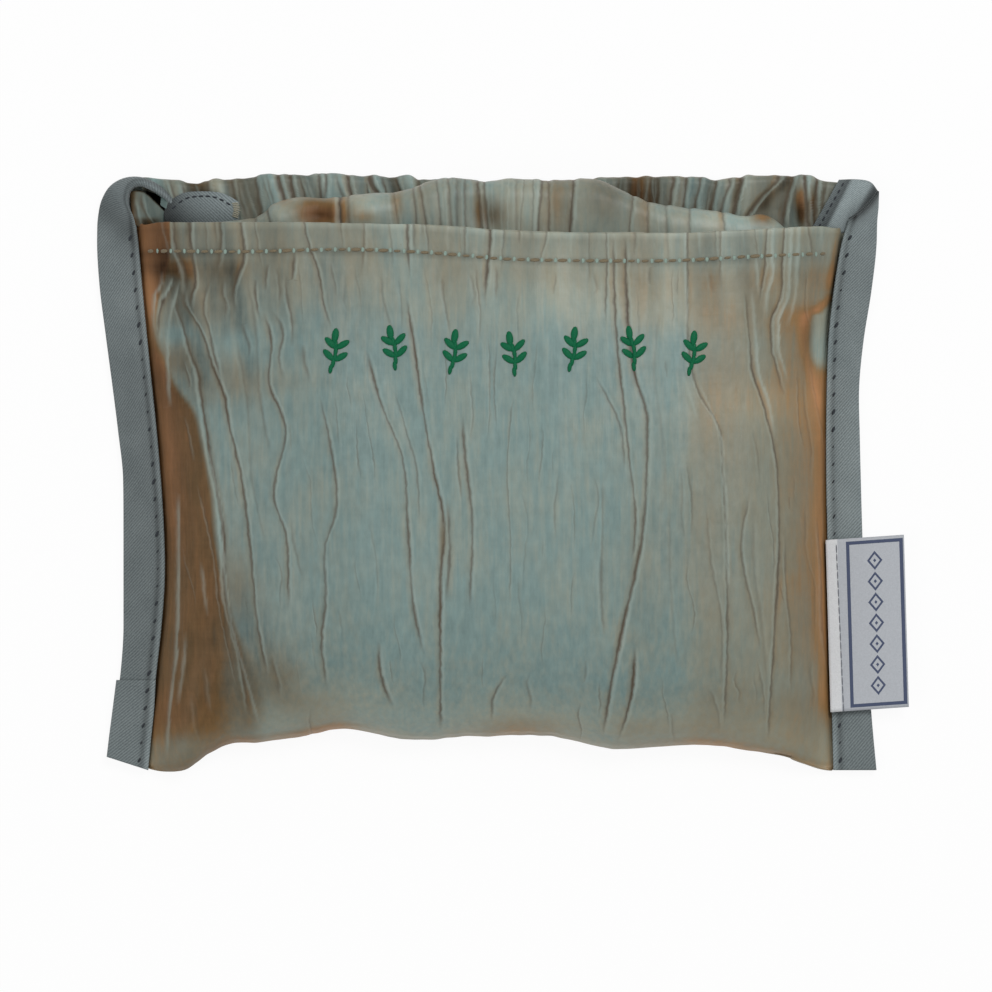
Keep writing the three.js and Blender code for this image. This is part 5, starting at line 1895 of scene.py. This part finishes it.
@dataclass
class CarryingStraps:
    """The two carrying straps, each folded in three between the layers of the tote."""

    length: float = 300.0
    passes: int = 3
    thickness: float = 0.5
    across: int = 24
    run_rows: int = 12
    bend_rows: int = 8

    def build(self, webbing: Material) -> None:
        """Lays each strap in the space of its node.

        Args:
            webbing: Finish of the straps.
        """
        for name, node in (("front_strap", "front_handle"), ("back_strap", "back_handle")):
            low, high = node_box(node)
            count = self.passes * self.run_rows + (self.passes - 1) * self.bend_rows
            strap = LaidCloth(name, self.across, count, self.thickness)
            a, b = strap.steps()
            step = (high.z - low.z - self.thickness) / (self.passes - 1)
            ends = (low.y + step + self.thickness, high.y - step - self.thickness)
            row = b * count
            y, z = np.zeros_like(a), np.zeros_like(a)
            start = 0.0
            for number in range(self.passes):
                first, second = (ends[1], ends[0]) if number % 2 == 0 else (ends[0], ends[1])
                t = (row - start) / self.run_rows
                here = (t >= 0) & (t <= 1)
                y = np.where(here, mix(first, second, t), y)
                z = np.where(here, number * step, z)
                start += self.run_rows
                t = (row - start) / self.bend_rows
                here = (t > 0) & (t < 1) & (number < self.passes - 1)
                outward = -1.0 if number % 2 == 0 else 1.0
                y = np.where(here, second + outward * step / 2 * np.sin(math.pi * t), y)
                z = np.where(here, number * step + step / 2 * (1 - np.cos(math.pi * t)), z)
                start += self.bend_rows
            x = mix(low.x, high.x, a)
            strap.points = np.stack([x, y, low.z + self.thickness / 2 + z], axis=-1)
            strap.marks = {"lay": np.stack([x - low.x, b * self.length, np.zeros_like(a)], axis=-1)}
            piece = finish_piece(strap.build(), webbing, Body.TOTE, [node])


@dataclass
class Studio:
    """Floor, lamps and the camera that looks straight down at the pouch."""

    view_width: float = 248.0  # the photo's frame at the height of the tapes
    aim: tuple[float, float] = (2.0, -4.9)
    distance: float = 3000.0
    sensor: float = 36.0
    sky: float = 0.38

    def build(self, floor: Material) -> None:
        """Makes the floor, the lamps, the world and the camera.

        Args:
            floor: Finish of the floor.
        """
        sheet = bmesh.new()
        bmesh.ops.create_grid(sheet, x_segments=4, y_segments=4, size=2.5)
        ground = new_piece("floor", sheet)
        ground.location.z = -0.1 * MM
        ground.data.materials.append(floor)
        self.lamp("key", (0.42, 0.55, 0.95), 0.55, 6.6)
        self.lamp("fill", (-0.75, -0.25, 0.75), 0.9, 3.2)
        world = bpy.data.worlds.new("studio")
        world.use_nodes = True
        world.node_tree.nodes["Background"].inputs["Color"].default_value = (1.0, 1.0, 1.0, 1.0)
        world.node_tree.nodes["Background"].inputs["Strength"].default_value = self.sky
        bpy.context.scene.world = world
        bpy.context.scene.view_settings.view_transform = "Standard"
        camera = bpy.data.cameras.new("camera")
        camera.sensor_width = self.sensor
        camera.lens = self.sensor * self.distance / self.view_width
        camera.clip_end = 20.0
        holder = bpy.data.objects.new("camera", camera)
        holder.location = (self.aim[0] * MM, self.aim[1] * MM, self.distance * MM)
        bpy.context.scene.collection.objects.link(holder)
        bpy.context.scene.camera = holder

    def lamp(self, name: str, place: tuple[float, float, float], size: float, power: float) -> None:
        """Hangs a soft lamp at a place in metres, turned to the pouch.

        Args:
            name: Name of the lamp.
            place: Where it hangs.
            size: Its width in metres.
            power: Its power in watts.
        """
        light = bpy.data.lights.new(name, "AREA")
        light.shape = "DISK"
        light.size = size
        light.energy = power
        holder = bpy.data.objects.new(name, light)
        holder.location = place
        holder.rotation_euler = (-Vector(place)).to_track_quat("-Z", "Y").to_euler()
        bpy.context.scene.collection.objects.link(holder)


def main() -> None:
    """Builds the pouch, the label, the tote and the studio, and notes the sizes."""
    logging.basicConfig(level=logging.INFO, format="%(message)s")
    cloth = ShotTaffeta().build()
    tape = TwillTape().build()
    navy = SewingThread("navy_spun_polyester_thread", "#222b33", "#10161b").build()
    copper = SewingThread("copper_spun_polyester_thread", "#85785d", "#50442f").build()
    glint = SewingThread("pale_thread_glint", "#93a89c", "#748a80").build()
    fray = SewingThread("frayed_cotton_yarn", "#a8a593", "#7d7a69").build()
    grey = SewingThread("grey_spun_polyester_thread", "#7c8088", "#54575e").build()
    green = SewingThread("green_rayon_embroidery_thread", "#0b6b45", "#064f32", 0.5, 0.5, 0.12).build()
    Studio().build(PaintedFloor().build())
    tote = RolledTote().lay().build()
    finish_piece(tote, cloth, Body.TOTE, ["tote_body"])
    surface = Pouch(cloth, tape, navy, copper, glint, fray).build()
    Embroidery().build(surface, green)
    LoopLabel().build(WovenLabel().build(width=13.3, height=40.6), grey)
    webbing = TwillTape(name="polyester_strap_webbing", ground="#6f7468", rib="#8a8f83").build()
    CarryingStraps().build(webbing)


if __name__ == "__main__":
    main()
